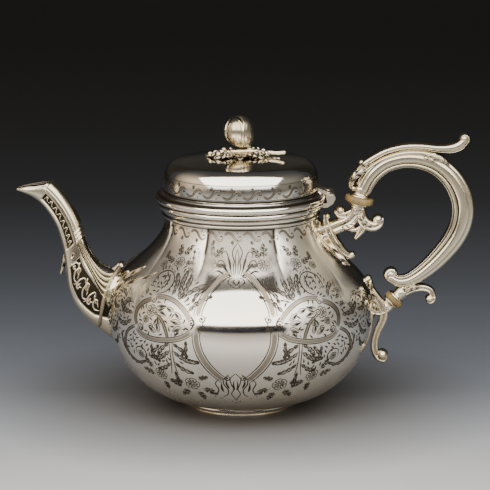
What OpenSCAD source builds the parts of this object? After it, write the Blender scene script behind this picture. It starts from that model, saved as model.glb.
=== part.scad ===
// Victorian silver teapot: pear-shaped body on a low foot, hinged domed lid with a
// bud finial, cast spout in two halves, C-scroll handle on two insulating discs.
// Millimetres. +Z up, +X towards the handle, -X towards the spout.
// The origin is the centre of the foot's resting face.

/* [Body] */
// Outer radius of the belly at its widest
belly_r = 73.8; // [72:0.1:76]
// Height of the belly's widest line
belly_z = 54; // [50:0.5:58]
// Outer radius of the neck under the collar
neck_r = 41.5; // [41:0.1:42]
// Height at which the neck meets the collar
neck_z = 106; // [105:0.5:106]
// Thickness of the raised silver sheet
wall = 0.9; // [0.7:0.1:1.2]
// Outer radius of the foot
foot_r = 32; // [31:0.5:34]
// Height of the foot
foot_h = 3.6; // [3:0.1:4]
// Radius of one strainer hole
strainer_hole_r = 1.5; // [1:0.1:1.8]

/* [Collar and lid] */
// Height of the parting line between collar and lid
parting_z = 114.5; // [114:0.1:115]
// Outer radius of the lid's bead
bead_r = 46.8; // [46:0.1:47]
// Outer radius of the lid's bezel, the flange that drops into the mouth
bezel_r = 38.4; // [37:0.1:38.6]
// Depth of the bezel below the parting line
bezel_h = 5; // [3:0.5:6]
// Height of the top of the dome
dome_z = 139.6; // [139.2:0.1:140.0]

/* [Hinge] */
// Distance of the hinge axis from the teapot's axis
hinge_x = 49; // [48.9:0.1:49.4]
// Height of the hinge axis
hinge_z = 117.2; // [117:0.1:117.4]
// Outer radius of the hinge barrel
barrel_r = 2.5; // [2.2:0.1:2.6]
// Length of one of the five knuckles
knuckle_w = 3.6; // [3:0.1:4]
// Radius of the hinge pin
hinge_pin_r = 1.1; // [0.8:0.1:1.2]

/* [Insulators] */
// Radius of the upper insulating disc
upper_disc_r = 7.8; // [7:0.1:8.5]
// Thickness of the upper insulating disc
upper_disc_h = 3.3; // [3:0.1:4]
// Radius of the lower insulating disc
lower_disc_r = 5.7; // [5.2:0.1:6.5]
// Thickness of the lower insulating disc
lower_disc_h = 3; // [2.6:0.1:3.6]
// Radius of the cross pins that hold the insulators
cross_pin_r = 0.7; // [0.5:0.1:0.9]

/* [Hidden] */

silver = [0.86, 0.85, 0.82];
bright_silver = [0.92, 0.91, 0.88];
old_ivory = [0.72, 0.60, 0.36];

round_fn = 128;        // facets drawn on a large round
small_fn = 32;         // facets drawn on a pin or a knuckle
fit_gap = 0.03;        // radial clearance of a pin in its hole
seam = 0.05;           // gap left between castings that are soldered on
knuckles = 5;
upper_joint = [64.9, 0, 114.6];   // centre of the upper insulating disc
upper_tilt = 12;                  // lean of the upper disc's axis towards +X
lower_joint = [84.5, 0, 58.4];    // centre of the lower insulating disc
lower_tilt = 45;
upper_cup_r = 4.2;
lower_cup_r = 3.6;
tenon_wall = 1.5;                 // cup radius less tenon radius
tenon_l = 5;
cup_l = 6.5;
pin_from_disc = 3;                // cross pin's distance from the disc's face

// ---------- curves ----------

function bezier(a, b, c, d, n) =
    [for (i = [0:n]) let (t = i / n, u = 1 - t)
        u * u * u * a + 3 * u * u * t * b + 3 * u * t * t * c + t * t * t * d];

function tail_of(p) = [for (i = [1:len(p) - 1]) p[i]];

function catmull(p, i, t) =
    let (a = p[max(i - 1, 0)], b = p[i], c = p[i + 1], d = p[min(i + 2, len(p) - 1)])
    0.5 * (2 * b + (c - a) * t + (2 * a - 5 * b + 4 * c - d) * t * t
        + (3 * b - a - 3 * c + d) * t * t * t);

// A smooth curve through every point of p, with steps spans between neighbours.
function smooth(p, steps) =
    [for (i = [0:len(p) - 2]) for (k = [0:steps - 1]) catmull(p, i, k / steps), p[len(p) - 1]];

function unit(v) = v / norm(v);

// Unit normal to the left of a polyline at point i.
function left_of(p, i) =
    let (d = unit(p[min(i + 1, len(p) - 1)] - p[max(i - 1, 0)])) [-d[1], d[0]];

// The polyline moved sideways by d, to its right when d is positive.
function shifted(p, d) = [for (i = [0:len(p) - 1]) p[i] - d * left_of(p, i)];

// ---------- outlines, as [radius, height] ----------

shoulder = [61, 78.7];
// The body's outside, from the neck down to the flat of its base.
body_outline = concat(
    bezier([neck_r, neck_z], [neck_r, 96], [52, 86.5], shoulder, 10),
    tail_of(bezier(shoulder, [67.8, 72.8], [belly_r, 66], [belly_r, belly_z], 8)),
    tail_of(bezier([belly_r, belly_z], [belly_r, 34], [60, 8], [foot_r - 1, foot_h], 14))
);

dome_shoulder = [36, dome_z - 3];
// The lid's outside, from its foot on the rim up to the crown.
dome_outline = concat(
    bezier([42.3, 120.8], [43.4, 128], [42, dome_z - 5], dome_shoulder, 10),
    tail_of(bezier(dome_shoulder, [24, dome_z - 0.8], [12, dome_z], [0, dome_z], 8))
);

// ---------- helpers ----------

// Closed solid through a list of equal rings of points.
module skin(rings) {
    n = len(rings[0]);
    m = len(rings);
    sides = [for (i = [0:m - 2]) for (j = [0:n - 1])
        let (a = i * n + j, b = i * n + (j + 1) % n)
        each [[a, b, b + n], [a, b + n, a + n]]];
    caps = [[for (j = [n - 1:-1:0]) j], [for (j = [0:n - 1]) (m - 1) * n + j]];
    polyhedron([for (r = rings) each r], concat(sides, caps), convexity = 6);
}

// A cast strand in the XZ plane. Each point is [x, z, half width in plane, half depth in Y].
module strand(points, sides = 12, steps = 3) {
    p = smooth(points, steps);
    line = [for (q = p) [q[0], q[1]]];
    skin([for (i = [0:len(p) - 1]) let (n = left_of(line, i))
        [for (j = [0:sides - 1]) let (a = 360 * j / sides, w = p[i][2] * cos(a))
            [p[i][0] + n[0] * w, p[i][3] * sin(a), p[i][1] + n[1] * w]]]);
}

// The round end of a scroll: a short stub across the strand, bull-nosed by its own facets.
module eye(x, z, r, w) {
    translate([x, 0, z]) rotate([90, 0, 0])
        cylinder(r = r, h = w, center = true, $fn = 24);
}

// A strip of thickness t that lies on the body from height z_low to z_high,
// spread evenly over angle about the direction turn.
module body_strip(z_low, z_high, t, angle, turn = 0) {
    band = [for (q = body_outline) if (q[1] >= z_low && q[1] <= z_high) q];
    out = shifted(band, -t);
    rotate([0, 0, turn - angle / 2])
        rotate_extrude(angle = angle, $fn = round_fn)
            polygon(concat(band, [for (i = [len(out) - 1:-1:0]) out[i]]));
}

// Places its children on a joint's centre with +Z along the joint's axis.
module at_joint(centre, tilt) {
    translate(centre) rotate([0, tilt, 0]) children();
}

// The hole for a cross pin on one side of a disc; side is 1 above and -1 below.
module pin_hole(disc_h, side, r, l) {
    translate([0, 0, side * (disc_h / 2 + pin_from_disc)])
        rotate([90, 0, 0]) cylinder(r = r, h = l, center = true, $fn = small_fn);
}

// Cup that takes an insulator's tenon, with its cross-pin hole.
module cup(disc_h, cup_r, side) {
    difference() {
        translate([0, 0, side > 0 ? disc_h / 2 : -disc_h / 2 - cup_l])
            cylinder(r = cup_r, h = cup_l, $fn = small_fn);
        cup_bore(disc_h, cup_r, side);
    }
}

module cup_bore(disc_h, cup_r, side) {
    bore_l = tenon_l + 0.5;
    translate([0, 0, side > 0 ? disc_h / 2 - 0.5 : -disc_h / 2 - bore_l])
        cylinder(r = cup_r - tenon_wall + seam, h = bore_l + 0.5, $fn = small_fn);
    pin_hole(disc_h, side, cross_pin_r + fit_gap, 4 * cup_r);
}

module insulator(disc_r, disc_h, cup_r) {
    color(old_ivory) difference() {
        union() {
            translate([0, 0, -disc_h / 2 + seam / 2])
                cylinder(r = disc_r, h = disc_h - seam, $fn = 64);
            translate([0, 0, -disc_h / 2 - tenon_l])
                cylinder(r = cup_r - tenon_wall, h = disc_h + 2 * tenon_l, $fn = small_fn);
        }
        for (side = [-1, 1]) pin_hole(disc_h, side, cross_pin_r + fit_gap, 4 * disc_r);
    }
}

// ---------- body ----------

module foot_ring() {
    color(silver) rotate_extrude($fn = round_fn) polygon([
        [foot_r - 3.4, 0], [foot_r - 0.2, 0], [foot_r, 0.3], [foot_r, 0.9],
        [foot_r - 0.7, 1.3], [foot_r - 1.5, 2.2], [foot_r - 1.8, foot_h],
        [foot_r - 3.0, foot_h]
    ]);
}

// The whole of the body's volume, used to trim what is soldered on.
module body_solid() {
    grown = shifted(body_outline, -0.6 * seam);
    rotate_extrude($fn = round_fn)
        polygon(concat([[0, neck_z]], grown, [[0, foot_h]]));
}

// Holes through the body's wall behind the spout, in a honeycomb.
module strainer() {
    pitch = 4.6;
    for (row = [-2:2]) for (k = [-2:2])
        let (y = (k + (row % 2 == 0 ? 0 : 0.5)) * pitch, z = 58 + row * pitch * 0.87)
        if (abs(y) < 9 && norm([y, z - 58]) < 10.5)
            translate([-belly_r - 2, y, z]) rotate([0, 90, 0])
                cylinder(r = strainer_hole_r, h = 12, $fn = 24);
}

module body_shell() {
    collar_top = 112;
    outer = concat([[neck_r, collar_top]], body_outline, [[0, foot_h]]);
    inside = shifted(body_outline, wall);
    floor_z = foot_h + wall;
    inner = concat([[neck_r - wall, collar_top]],
        [for (q = inside) if (q[1] > floor_z + 0.1) q],
        [[foot_r - 1, floor_z], [0, floor_z]]);
    color(bright_silver) difference() {
        rotate_extrude($fn = round_fn)
            polygon(concat(outer, [for (i = [len(inner) - 1:-1:0]) inner[i]]));
        strainer();
    }
}

// Moulded ring round the mouth: base bead, cove and top bead.
module neck_collar() {
    cove = bezier([43.0, 108.2], [42.6, 109.6], [43.0, 110.9], [44.4, 111.4], 6);
    top_bead = bezier([44.4, 111.4], [45.9, 111.6], [45.9, 114.1], [44.6, 114.3], 8);
    base_bead = bezier([neck_r, neck_z + 0.3], [43.6, 106.2], [43.8, 108.2], [43.0, 108.2], 6);
    color(silver) rotate_extrude($fn = round_fn) polygon(concat(
        base_bead, tail_of(cove), tail_of(top_bead),
        [[neck_r - 1, 114.3], [neck_r - 1, 112.05], [neck_r, 112.05]]
    ));
}

// Ring inside the mouth that centres the lid's bezel.
module lid_seat_ring() {
    outer_r = neck_r - wall;
    color(silver) rotate_extrude($fn = round_fn) polygon([
        [outer_r, 106.5], [outer_r, 111.9], [outer_r - 0.2, 112],
        [bezel_r + 0.7, 112], [bezel_r + 0.7, 108], [bezel_r - 0.8, 106.9],
        [bezel_r - 0.8, 106.5]
    ]);
}

// ---------- lid ----------

module lid_dome() {
    inner = shifted(dome_outline, -wall);
    vent_x = 16;           // steam vent under the twig
    color(bright_silver) difference() {
        rotate_extrude($fn = round_fn) polygon(concat(
            dome_outline, [[0, dome_z - wall]], [for (i = [len(inner) - 2:-1:0]) inner[i]]));
        translate([0, 0, dome_z - 4])
            cylinder(r = stud_r + 0.1, h = 6, $fn = small_fn);
        translate([vent_x, 0, dome_z - 6])
            cylinder(r = 0.9, h = 8, $fn = small_fn);
    }
}

// Bead and sloping flange round the foot of the dome.
module lid_rim() {
    bead = bezier([44.6, parting_z], [bead_r + 0.7, parting_z], [bead_r + 0.7, 118.3],
        [45.2, 118.4], 8);
    slope = bezier([44.9, 118.8], [44.3, 120.2], [43.2, 120.6], [42.4, 120.8], 5);
    color(silver) difference() {
        rotate_extrude($fn = round_fn) polygon(concat(
            [[39.2, parting_z]], bead, slope,
            [[39.9, 120.8], [39.9, 118.2], [39.2, 118.2]]));
        // room for the barrel
        translate([hinge_x, 0, hinge_z]) rotate([90, 0, 0])
            cylinder(r = barrel_r + 0.3, h = knuckles * knuckle_w + 1.6, center = true,
                $fn = small_fn);
    }
}

module lid_bezel() {
    color(silver) rotate_extrude($fn = round_fn) polygon([
        [bezel_r, parting_z - bezel_h], [bezel_r, 118.2], [39.2, 118.2], [39.9, 118.2],
        [39.9, 119.0], [bezel_r - wall, 119.0], [bezel_r - wall, parting_z - bezel_h]
    ]);
}

// ---------- hinge ----------

function knuckle_y(i) = (i - (knuckles - 1) / 2) * knuckle_w;

// Knuckles first, first + 2 and so on, bored for the pin.
module knuckle_row(first) {
    slit = 0.12;
    for (i = [first:2:knuckles - 1])
        translate([hinge_x, knuckle_y(i), hinge_z]) rotate([90, 0, 0]) difference() {
            union() {
                cylinder(r = barrel_r, h = knuckle_w - slit, center = true, $fn = small_fn);
                linear_extrude(height = knuckle_w - slit, center = true) children();
            }
            cylinder(r = hinge_pin_r + fit_gap, h = 2 * knuckle_w, center = true, $fn = small_fn);
        }
}

// Fixed leaf: knuckles carried on a bracket that comes off the collar's top bead.
module hinge_body_leaf() {
    color(silver) difference() {
        union() {
            knuckle_row(0) polygon([
                [-2, -3], [1.4, -3], [barrel_r - 0.1, -0.6], [0, 0], [-2, -1.4]]);
            translate([hinge_x, 0, hinge_z]) rotate([90, 0, 0])
                linear_extrude(height = knuckles * knuckle_w - 0.12, center = true)
                    polygon([[-4.6, -5.4], [-1.6, -5.2], [1.2, -3.3], [1.4, -2.9], [-4.6, -2.9]]);
        }
        // room for the lid's knuckles
        for (i = [1:2:knuckles - 1])
            translate([hinge_x, knuckle_y(i), hinge_z]) rotate([90, 0, 0])
                cylinder(r = barrel_r + 0.3, h = knuckle_w, center = true, $fn = small_fn);
        translate([0, 0, 100]) cylinder(r = 45.6, h = 20, $fn = round_fn);
    }
}

// Moving leaf: a plate soldered on the rim's flange, with its two knuckles.
module hinge_lid_leaf() {
    plate_w = 3 * knuckle_w - 0.12;
    color(silver) difference() {
        union() {
            knuckle_row(1) polygon([
                [-3, 1], [-3, 3.4], [-0.4, barrel_r - 0.05], [0, 0], [-2, 0.2]]);
            translate([hinge_x, 0, hinge_z]) rotate([90, 0, 0])
                linear_extrude(height = plate_w, center = true)
                    polygon([[-7.6, 3.2], [-7.4, 5.2], [-2.6, 3.3], [-2.5, 1.5], [-4, 1]]);
        }
        rotate_extrude($fn = round_fn) polygon([
            [30, 112], [bead_r + 0.02, 112], [bead_r + 0.02, 118.1], [45.25, 118.45],
            [44.95, 118.85], [44.2, 120.3], [42.45, 120.85], [42.6, 125], [30, 125]]);
    }
}

module hinge_pin() {
    row_l = knuckles * knuckle_w;
    color(bright_silver) translate([hinge_x, 0, hinge_z]) rotate([90, 0, 0]) {
        cylinder(r = hinge_pin_r, h = row_l + 0.4, center = true, $fn = small_fn);
        for (end = [-1, 1]) translate([0, 0, end * (row_l / 2 + 0.25)])
            cylinder(r = 1.6 * hinge_pin_r, h = 0.5, center = true, $fn = small_fn);
    }
}

// ---------- finial ----------

stud_r = 1.5;
stud_low = dome_z - wall - 4.6;
boss_z = dome_z;          // the boss stands on the crown
bud_base = [3.2, 0, dome_z + 4.2];
bud_lean = 26;            // towards the spout
boss_r = 4.4;
boss_h = 2.6;

// Closed bud that leans towards the spout, on a short stem.
module finial_bud() {
    outline = concat([[0, 0]],
        bezier([1.5, 0], [4.6, 0], [8.6, 2.6], [8.6, 8.2], 8),
        tail_of(bezier([8.6, 8.2], [8.6, 13.4], [3.4, 17.4], [0.8, 18.2], 8)), [[0, 18.2]]);
    color(bright_silver) {
        translate(bud_base) rotate([0, -bud_lean, 0])
            rotate_extrude($fn = 48) polygon(outline);
    }
}

// One leaf, flat, pointing along +X from the origin.
module leaf(l, w, t) {
    outline = concat(
        bezier([0, 0], [l * 0.2, w], [l * 0.7, w * 0.8], [l, 0], 6),
        tail_of(bezier([l, 0], [l * 0.7, -w * 0.8], [l * 0.2, -w], [0, 0], 6)));
    linear_extrude(height = t) polygon([for (i = [0:len(outline) - 2]) outline[i]]);
}

// Boss, twig and leaves that lie on the crown of the lid.
module finial_foliage() {
    color(silver) difference() {
        union() {
            translate([0, 0, boss_z]) cylinder(r = boss_r, h = boss_h, $fn = small_fn);
            translate([1.8, 0, boss_z + boss_h - 0.5])
                cylinder(r1 = boss_r - 1.6, r2 = 1.8, h = 3.4, $fn = small_fn);
            for (turn = [35, 115, 180, 245, 325])
                rotate([0, 0, turn]) translate([2.5, 0, boss_z + 0.6]) leaf(16, 5.6, 1.6);
            translate([0, 0, boss_z + 1.8]) rotate([0, 90, 0])
                cylinder(r1 = 1.6, r2 = 1.1, h = 24.4, $fn = 16);
        }
        translate([0, 0, boss_z - 1]) cylinder(r = stud_r + fit_gap, h = 4, $fn = small_fn);
        translate(bud_base) rotate([0, -bud_lean, 0]) translate([0, 0, -seam])
            cylinder(r = 9, h = 10, $fn = 48);
    }
}

module finial_stud() {
    color(bright_silver) translate([0, 0, stud_low])
        cylinder(r = stud_r, h = boss_z + 3 - 0.1 - stud_low, $fn = small_fn);
}

module finial_washer() {
    color(silver) translate([0, 0, dome_z - wall - 1.1]) difference() {
        cylinder(r = 4.2, h = 0.9, $fn = 48);
        translate([0, 0, -1]) cylinder(r = stud_r + fit_gap, h = 4, $fn = small_fn);
    }
}

module finial_nut() {
    color(silver) translate([0, 0, dome_z - wall - 3.9]) difference() {
        cylinder(r = 3.4, h = 2.7, $fn = 6);
        translate([0, 0, -1]) cylinder(r = stud_r + fit_gap, h = 6, $fn = small_fn);
    }
}

// ---------- spout ----------

// Stations from the base to the beak: [x and z of the lower edge, x and z of the upper
// edge, half depth in Y].
spout_stations = [
    [-66, 33, -52, 71, 13.4],
    [-80.8, 44.5, -68.8, 75.6, 12.4],
    [-87.1, 50.4, -74.5, 77.5, 11.4],
    [-92.1, 57.4, -78.3, 80, 10.3],
    [-95.3, 65.8, -81.6, 84, 9.2],
    [-96.8, 75.5, -84.4, 89.2, 8.2],
    [-97.5, 84, -86.4, 95.5, 7.4],
    [-98.7, 91, -88.3, 101.9, 6.9],
    [-101.2, 99.6, -91.4, 108.4, 6.5],
    [-105, 106.8, -95.8, 115.6, 6.2],
    [-109.4, 112.6, -101, 122, 6.0],
    [-112.6, 115.4, -105.4, 125.3, 5.9],
    [-116.2, 117.6, -111.2, 124.2, 5.4],
    [-120, 119.1, -116.8, 123.2, 4.2],
    [-123.3, 120.2, -122.2, 121.9, 2.0]
];
hood_station = 11;       // where the closed tube ends and the open beak starts
spout_wall = 1.5;
spout_steps = 2;
arc_points = 13;

// Point at angle t round a station, 0 at the lower edge and 180 at the upper edge,
// square-shouldered, and moved in by the thickness w.
function spout_point(s, t, w) =
    let (low = [s[0], s[1]], high = [s[2], s[3]], d = unit(high - low),
        u = -cos(t), v = sin(t), c = (low + high) / 2,
        along = (norm(high - low) / 2 - w) * sign(u) * pow(abs(u), 0.75),
        across = (s[4] - w) * pow(abs(v), 0.6))
    [c[0] + d[0] * along, across, c[1] + d[1] * along];

// One half of the cast tube, side 1 towards +Y and side -1 towards -Y. Each ring runs up
// the outside and back down the inside; past the hood the top stays open.
module spout_cast(side, hollow = true) {
    stations = smooth(spout_stations, spout_steps);
    open_at = hood_station * spout_steps;
    skin([for (i = [0:len(stations) - 1])
        let (s = stations[i], half = norm([s[2] - s[0], s[3] - s[1]]) / 2,
            w = min(spout_wall, 0.4 * half, 0.4 * s[4]),
            top = i <= open_at ? 180 : max(112, 180 - 24 * (i - open_at)),
            outer = [for (j = [0:arc_points - 1])
                spout_point(s, top * j / (arc_points - 1), 0)],
            inner = [for (j = [arc_points - 1:-1:0])
                spout_point(s, top * j / (arc_points - 1), w)],
            ring = hollow ? concat(outer, inner) : outer, n = len(ring))
        [for (j = [0:n - 1]) let (q = ring[side > 0 ? j : n - 1 - j])
            [q[0], side * q[1], q[2]]]]);
}

module spout_half(side) {
    color(silver) difference() {
        spout_cast(side);
        body_solid();
    }
}

// Scrolled leaf on top of the spout's root, its tip curled up towards the lid.
module spout_crest() {
    color(silver) difference() {
        strand([[-84.4, 93.5, 0.9, 2.2], [-82.3, 88.2, 1.5, 3.6], [-79.0, 83.0, 1.9, 4.8],
            [-74.5, 79.6, 2.0, 5.6], [-70.0, 78.9, 1.8, 5.2], [-67.0, 80.2, 1.6, 4.2],
            [-65.0, 82.6, 1.2, 2.8]], 10, 2);
        for (side = [-1, 1]) spout_cast(side, false);
        body_solid();
    }
}

// Small leaf that hangs from the underside of the spout.
module spout_spur() {
    color(silver) difference() {
        strand([[-96.2, 88, 1.0, 2.0], [-98.2, 83.5, 1.3, 2.6], [-99.6, 78.5, 1.1, 2.2],
            [-101.8, 73.2, 0.7, 1.3]], 8, 2);
        for (side = [-1, 1]) spout_cast(side, false);
    }
}

// ---------- handle ----------

// Cast bracket on the neck: back leaf, arm, cup and the curls that spring from it.
module upper_socket() {
    color(silver) difference() {
        union() {
            body_strip(83, 104, 1.8, 13);
            strand([[45, 97, 4.4, 3.6], [50.5, 99.2, 4.0, 3.6], [56, 101.4, 3.5, 3.4],
                [60.4, 103.8, 3.4, 3.4], [63.2, 107.6, 3.6, 3.6]], 12, 3);
            strand([[64.4, 105.6, 2.4, 2.8], [67.4, 101.4, 2.7, 3.0], [71.6, 99.2, 2.4, 2.8],
                [75.4, 100.4, 1.9, 2.4]], 10, 3);
            eye(75.0, 103.0, 3.0, 4);
            strand([[62.6, 110.2, 1.5, 2.4], [60.0, 106.8, 1.9, 2.6], [56.2, 105.9, 1.9, 2.4],
                [54.0, 107.0, 1.5, 2.2]], 10, 3);
            eye(54.2, 108.7, 2.4, 3.6);
            strand([[66.6, 100.8, 1.9, 2.2], [64.8, 96.8, 1.6, 1.8], [62.8, 93.2, 0.9, 1.0]], 8, 2);
            at_joint(upper_joint, upper_tilt) cup(upper_disc_h, upper_cup_r, -1);
        }
        at_joint(upper_joint, upper_tilt) cup_bore(upper_disc_h, upper_cup_r, -1);
        body_solid();
    }
}

module upper_insulator() {
    at_joint(upper_joint, upper_tilt) insulator(upper_disc_r, upper_disc_h, upper_cup_r);
}

// The C-scroll, from the upper disc over the top and round to its lower curl:
// [x, z, half width, half depth].
grip_path = [
    [67.5, 120.5, 4.0, 4.4], [69.6, 125.2, 4.3, 4.6], [73.2, 130.2, 4.6, 4.9],
    [79.6, 135.2, 4.9, 5.2], [88.6, 137.8, 5.1, 5.5], [98.2, 137.4, 5.3, 5.6],
    [107.4, 134.0, 5.6, 5.7], [115.2, 127.2, 5.9, 5.8], [120.2, 118.4, 6.1, 5.8],
    [121.9, 110.0, 6.1, 5.8], [120.8, 101.4, 6.0, 5.7], [117.4, 93.6, 5.7, 5.5],
    [112.4, 86.6, 5.3, 5.2], [106.0, 79.6, 4.8, 4.9], [99.0, 73.6, 4.2, 4.5],
    [92.4, 69.8, 3.6, 4.2], [86.8, 69.2, 3.2, 3.8], [82.6, 71.2, 2.8, 3.4]
];

module handle_grip() {
    // leg from the C's underside to the lower cup
    leg = [[96.5, 71.4, 2.6, 3.2], [92.4, 66.4, 2.8, 3.2], [88.6, 62.5, 3.2, 3.4]];
    color(bright_silver) difference() {
        union() {
            strand(grip_path, 16, 3);
            eye(82, 73, 3.1, 7);
            strand(leg, 12, 2);
            at_joint(upper_joint, upper_tilt) cup(upper_disc_h, upper_cup_r, 1);
            at_joint(lower_joint, lower_tilt) cup(lower_disc_h, lower_cup_r, 1);
        }
        at_joint(upper_joint, upper_tilt) cup_bore(upper_disc_h, upper_cup_r, 1);
        at_joint(lower_joint, lower_tilt) cup_bore(lower_disc_h, lower_cup_r, 1);
    }
}

// Leaf-ended strip along the top of the C that rises into the thumb scroll.
module handle_cap() {
    color(bright_silver) eye(121.8, 149.2, 2.9, 6.8);
    color(bright_silver) difference() {
        strand([[59.6, 123.2, 0.8, 2.2], [60.6, 127.4, 2.0, 3.6], [64.0, 131.2, 2.2, 4.2],
            [69.4, 135.8, 2.1, 4.6], [78.6, 141.6, 2.0, 5.0], [88.4, 144.6, 1.9, 5.2],
            [98.2, 145.0, 1.9, 5.2], [107.2, 143.8, 2.1, 5.0], [114.4, 143.6, 2.4, 4.6],
            [119.4, 145.2, 2.6, 4.2], [122.2, 147.8, 2.3, 3.6]], 12, 3);
        strand(grip_path, 16, 3);
    }
}

// Curled offshoot behind the lower joint.
module handle_spur() {
    color(silver) eye(104.2, 58.6, 2.9, 3.8);
    color(silver) difference() {
        strand([[90.6, 62.4, 1.4, 2.2], [95.4, 64.4, 1.9, 2.6], [100.2, 65.4, 2.1, 2.6],
            [104.6, 63.8, 2.0, 2.4], [106.2, 60.2, 1.7, 2.2]], 10, 3);
        strand(grip_path, 16, 3);
        strand([[96.5, 71.4, 2.6, 3.2], [92.4, 66.4, 2.8, 3.2], [88.6, 62.5, 3.2, 3.4]], 12, 2);
        at_joint(lower_joint, lower_tilt) translate([0, 0, lower_disc_h / 2])
            cylinder(r = lower_cup_r, h = cup_l, $fn = small_fn);
    }
}

module lower_insulator() {
    at_joint(lower_joint, lower_tilt) insulator(lower_disc_r, lower_disc_h, lower_cup_r);
}

// Bracket on the belly: rising leaf, cup and the long tail with its curl.
module lower_socket() {
    color(silver) difference() {
        union() {
            body_strip(36, 69, 1.6, 7);
            at_joint(lower_joint, lower_tilt) cup(lower_disc_h, lower_cup_r, -1);
            strand([[69.6, 68.4, 0.9, 1.6], [72.6, 63.4, 1.6, 2.6], [75.4, 57.4, 2.2, 3.2],
                [78.2, 52.2, 2.6, 3.3], [78.6, 46.6, 2.0, 2.8], [75.6, 41.4, 1.6, 2.4],
                [73.8, 36.4, 1.5, 2.2], [73.6, 31.6, 1.5, 2.2], [75.2, 27.2, 1.7, 2.4]], 12, 3);
            eye(77.8, 26.2, 3.6, 4.6);
        }
        at_joint(lower_joint, lower_tilt) cup_bore(lower_disc_h, lower_cup_r, -1);
        body_solid();
    }
}

// Four silver pins, one through each side of each insulator.
module cross_pins() {
    color(bright_silver) for (side = [-1, 1]) {
        at_joint(upper_joint, upper_tilt)
            pin_hole(upper_disc_h, side, cross_pin_r, 2 * upper_cup_r + 0.2);
        at_joint(lower_joint, lower_tilt)
            pin_hole(lower_disc_h, side, cross_pin_r, 2 * lower_cup_r + 0.2);
    }
}

foot_ring();
body_shell();
neck_collar();
lid_seat_ring();
lid_dome();
lid_rim();
lid_bezel();
hinge_body_leaf();
hinge_lid_leaf();
hinge_pin();
finial_bud();
finial_foliage();
finial_stud();
finial_washer();
finial_nut();
spout_half(1);  // spout_left_half
spout_half(-1);  // spout_right_half
spout_crest();
spout_spur();
upper_socket();
upper_insulator();
handle_grip();
handle_cap();
handle_spur();
lower_insulator();
lower_socket();
cross_pins();
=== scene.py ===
"""Looks for the silver teapot: raised body and lid, cast spout, handle and finial, strokes
of engraving laid over the silver, the materials, and the studio. Lengths are millimetres
until Solid.make. +Z is up, the spout points to -X and the photographed side is -Y."""
import math

import bmesh
import bpy
import numpy as np
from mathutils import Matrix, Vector


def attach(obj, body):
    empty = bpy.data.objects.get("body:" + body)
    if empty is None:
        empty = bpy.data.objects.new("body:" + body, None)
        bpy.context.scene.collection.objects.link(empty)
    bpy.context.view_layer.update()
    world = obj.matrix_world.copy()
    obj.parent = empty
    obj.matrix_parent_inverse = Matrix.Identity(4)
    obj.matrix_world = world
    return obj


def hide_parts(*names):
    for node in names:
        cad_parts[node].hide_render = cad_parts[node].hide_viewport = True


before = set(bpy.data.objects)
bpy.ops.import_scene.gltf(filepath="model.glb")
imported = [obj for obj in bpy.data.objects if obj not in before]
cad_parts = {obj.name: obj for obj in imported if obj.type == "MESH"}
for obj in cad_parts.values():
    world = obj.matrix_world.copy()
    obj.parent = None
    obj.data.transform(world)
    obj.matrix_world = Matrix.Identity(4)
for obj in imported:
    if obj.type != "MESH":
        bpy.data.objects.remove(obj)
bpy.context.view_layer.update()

MM = 0.001
POT, LID = "pot", "lid"
TAU = 2 * math.pi


# ---------------------------------------------------------------- curves

def bezier(a, b, c, d, n=24):
    """Points of a cubic from a to d."""
    t = np.linspace(0, 1, n + 1)[:, None]
    u = 1 - t
    a, b, c, d = (np.array(p, float) for p in (a, b, c, d))
    return u ** 3 * a + 3 * u * u * t * b + 3 * u * t * t * c + t ** 3 * d


def chain(*curves):
    """Curves joined end to start."""
    return np.vstack([curves[0]] + [c[1:] for c in curves[1:]])


def smooth(points, steps=6):
    """A Catmull-Rom curve through every point."""
    p = np.array(points, float)
    out = []
    for i in range(len(p) - 1):
        a, b, c, d = p[max(i - 1, 0)], p[i], p[i + 1], p[min(i + 2, len(p) - 1)]
        for k in range(steps):
            t = k / steps
            out.append(0.5 * (2 * b + (c - a) * t + (2 * a - 5 * b + 4 * c - d) * t * t
                              + (3 * b - a - 3 * c + d) * t ** 3))
    out.append(p[-1])
    return np.array(out)


def lengths(p):
    """Distance along a polyline at each point."""
    return np.r_[0, np.cumsum(np.linalg.norm(np.diff(p, axis=0), axis=1))]


def resample(p, step):
    """The polyline p cut into equal steps of about the given length."""
    s = lengths(p)
    n = max(2, int(round(s[-1] / step)) + 1)
    t = np.linspace(0, s[-1], n)
    return np.stack([np.interp(t, s, p[:, k]) for k in range(p.shape[1])], 1)


def normals_2d(p):
    """Unit normals to the left of a plane polyline."""
    d = np.gradient(p, axis=0)
    d /= np.linalg.norm(d, axis=1)[:, None] + 1e-12
    return np.stack([-d[:, 1], d[:, 0]], 1)


def ease(x, lo, hi):
    """0 below lo and 1 above hi, smooth between; or the reverse when hi < lo."""
    t = np.clip((x - lo) / (hi - lo), 0, 1)
    return t * t * (3 - 2 * t)


def spiral(cx, cz, r0, r1, a0, a1, n=24):
    """Points of a spiral from radius r0 at angle a0 to r1 at a1, in degrees."""
    t = np.linspace(0, 1, n + 1)
    a = np.radians(a0 + (a1 - a0) * t)
    r = r0 + (r1 - r0) * t
    return np.stack([cx + r * np.cos(a), cz + r * np.sin(a)], 1)


# ---------------------------------------------------------------- meshes

def new_object(name, data):
    """An object in the scene for the given data."""
    obj = bpy.data.objects.new(name, data)
    bpy.context.scene.collection.objects.link(obj)
    return obj


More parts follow.
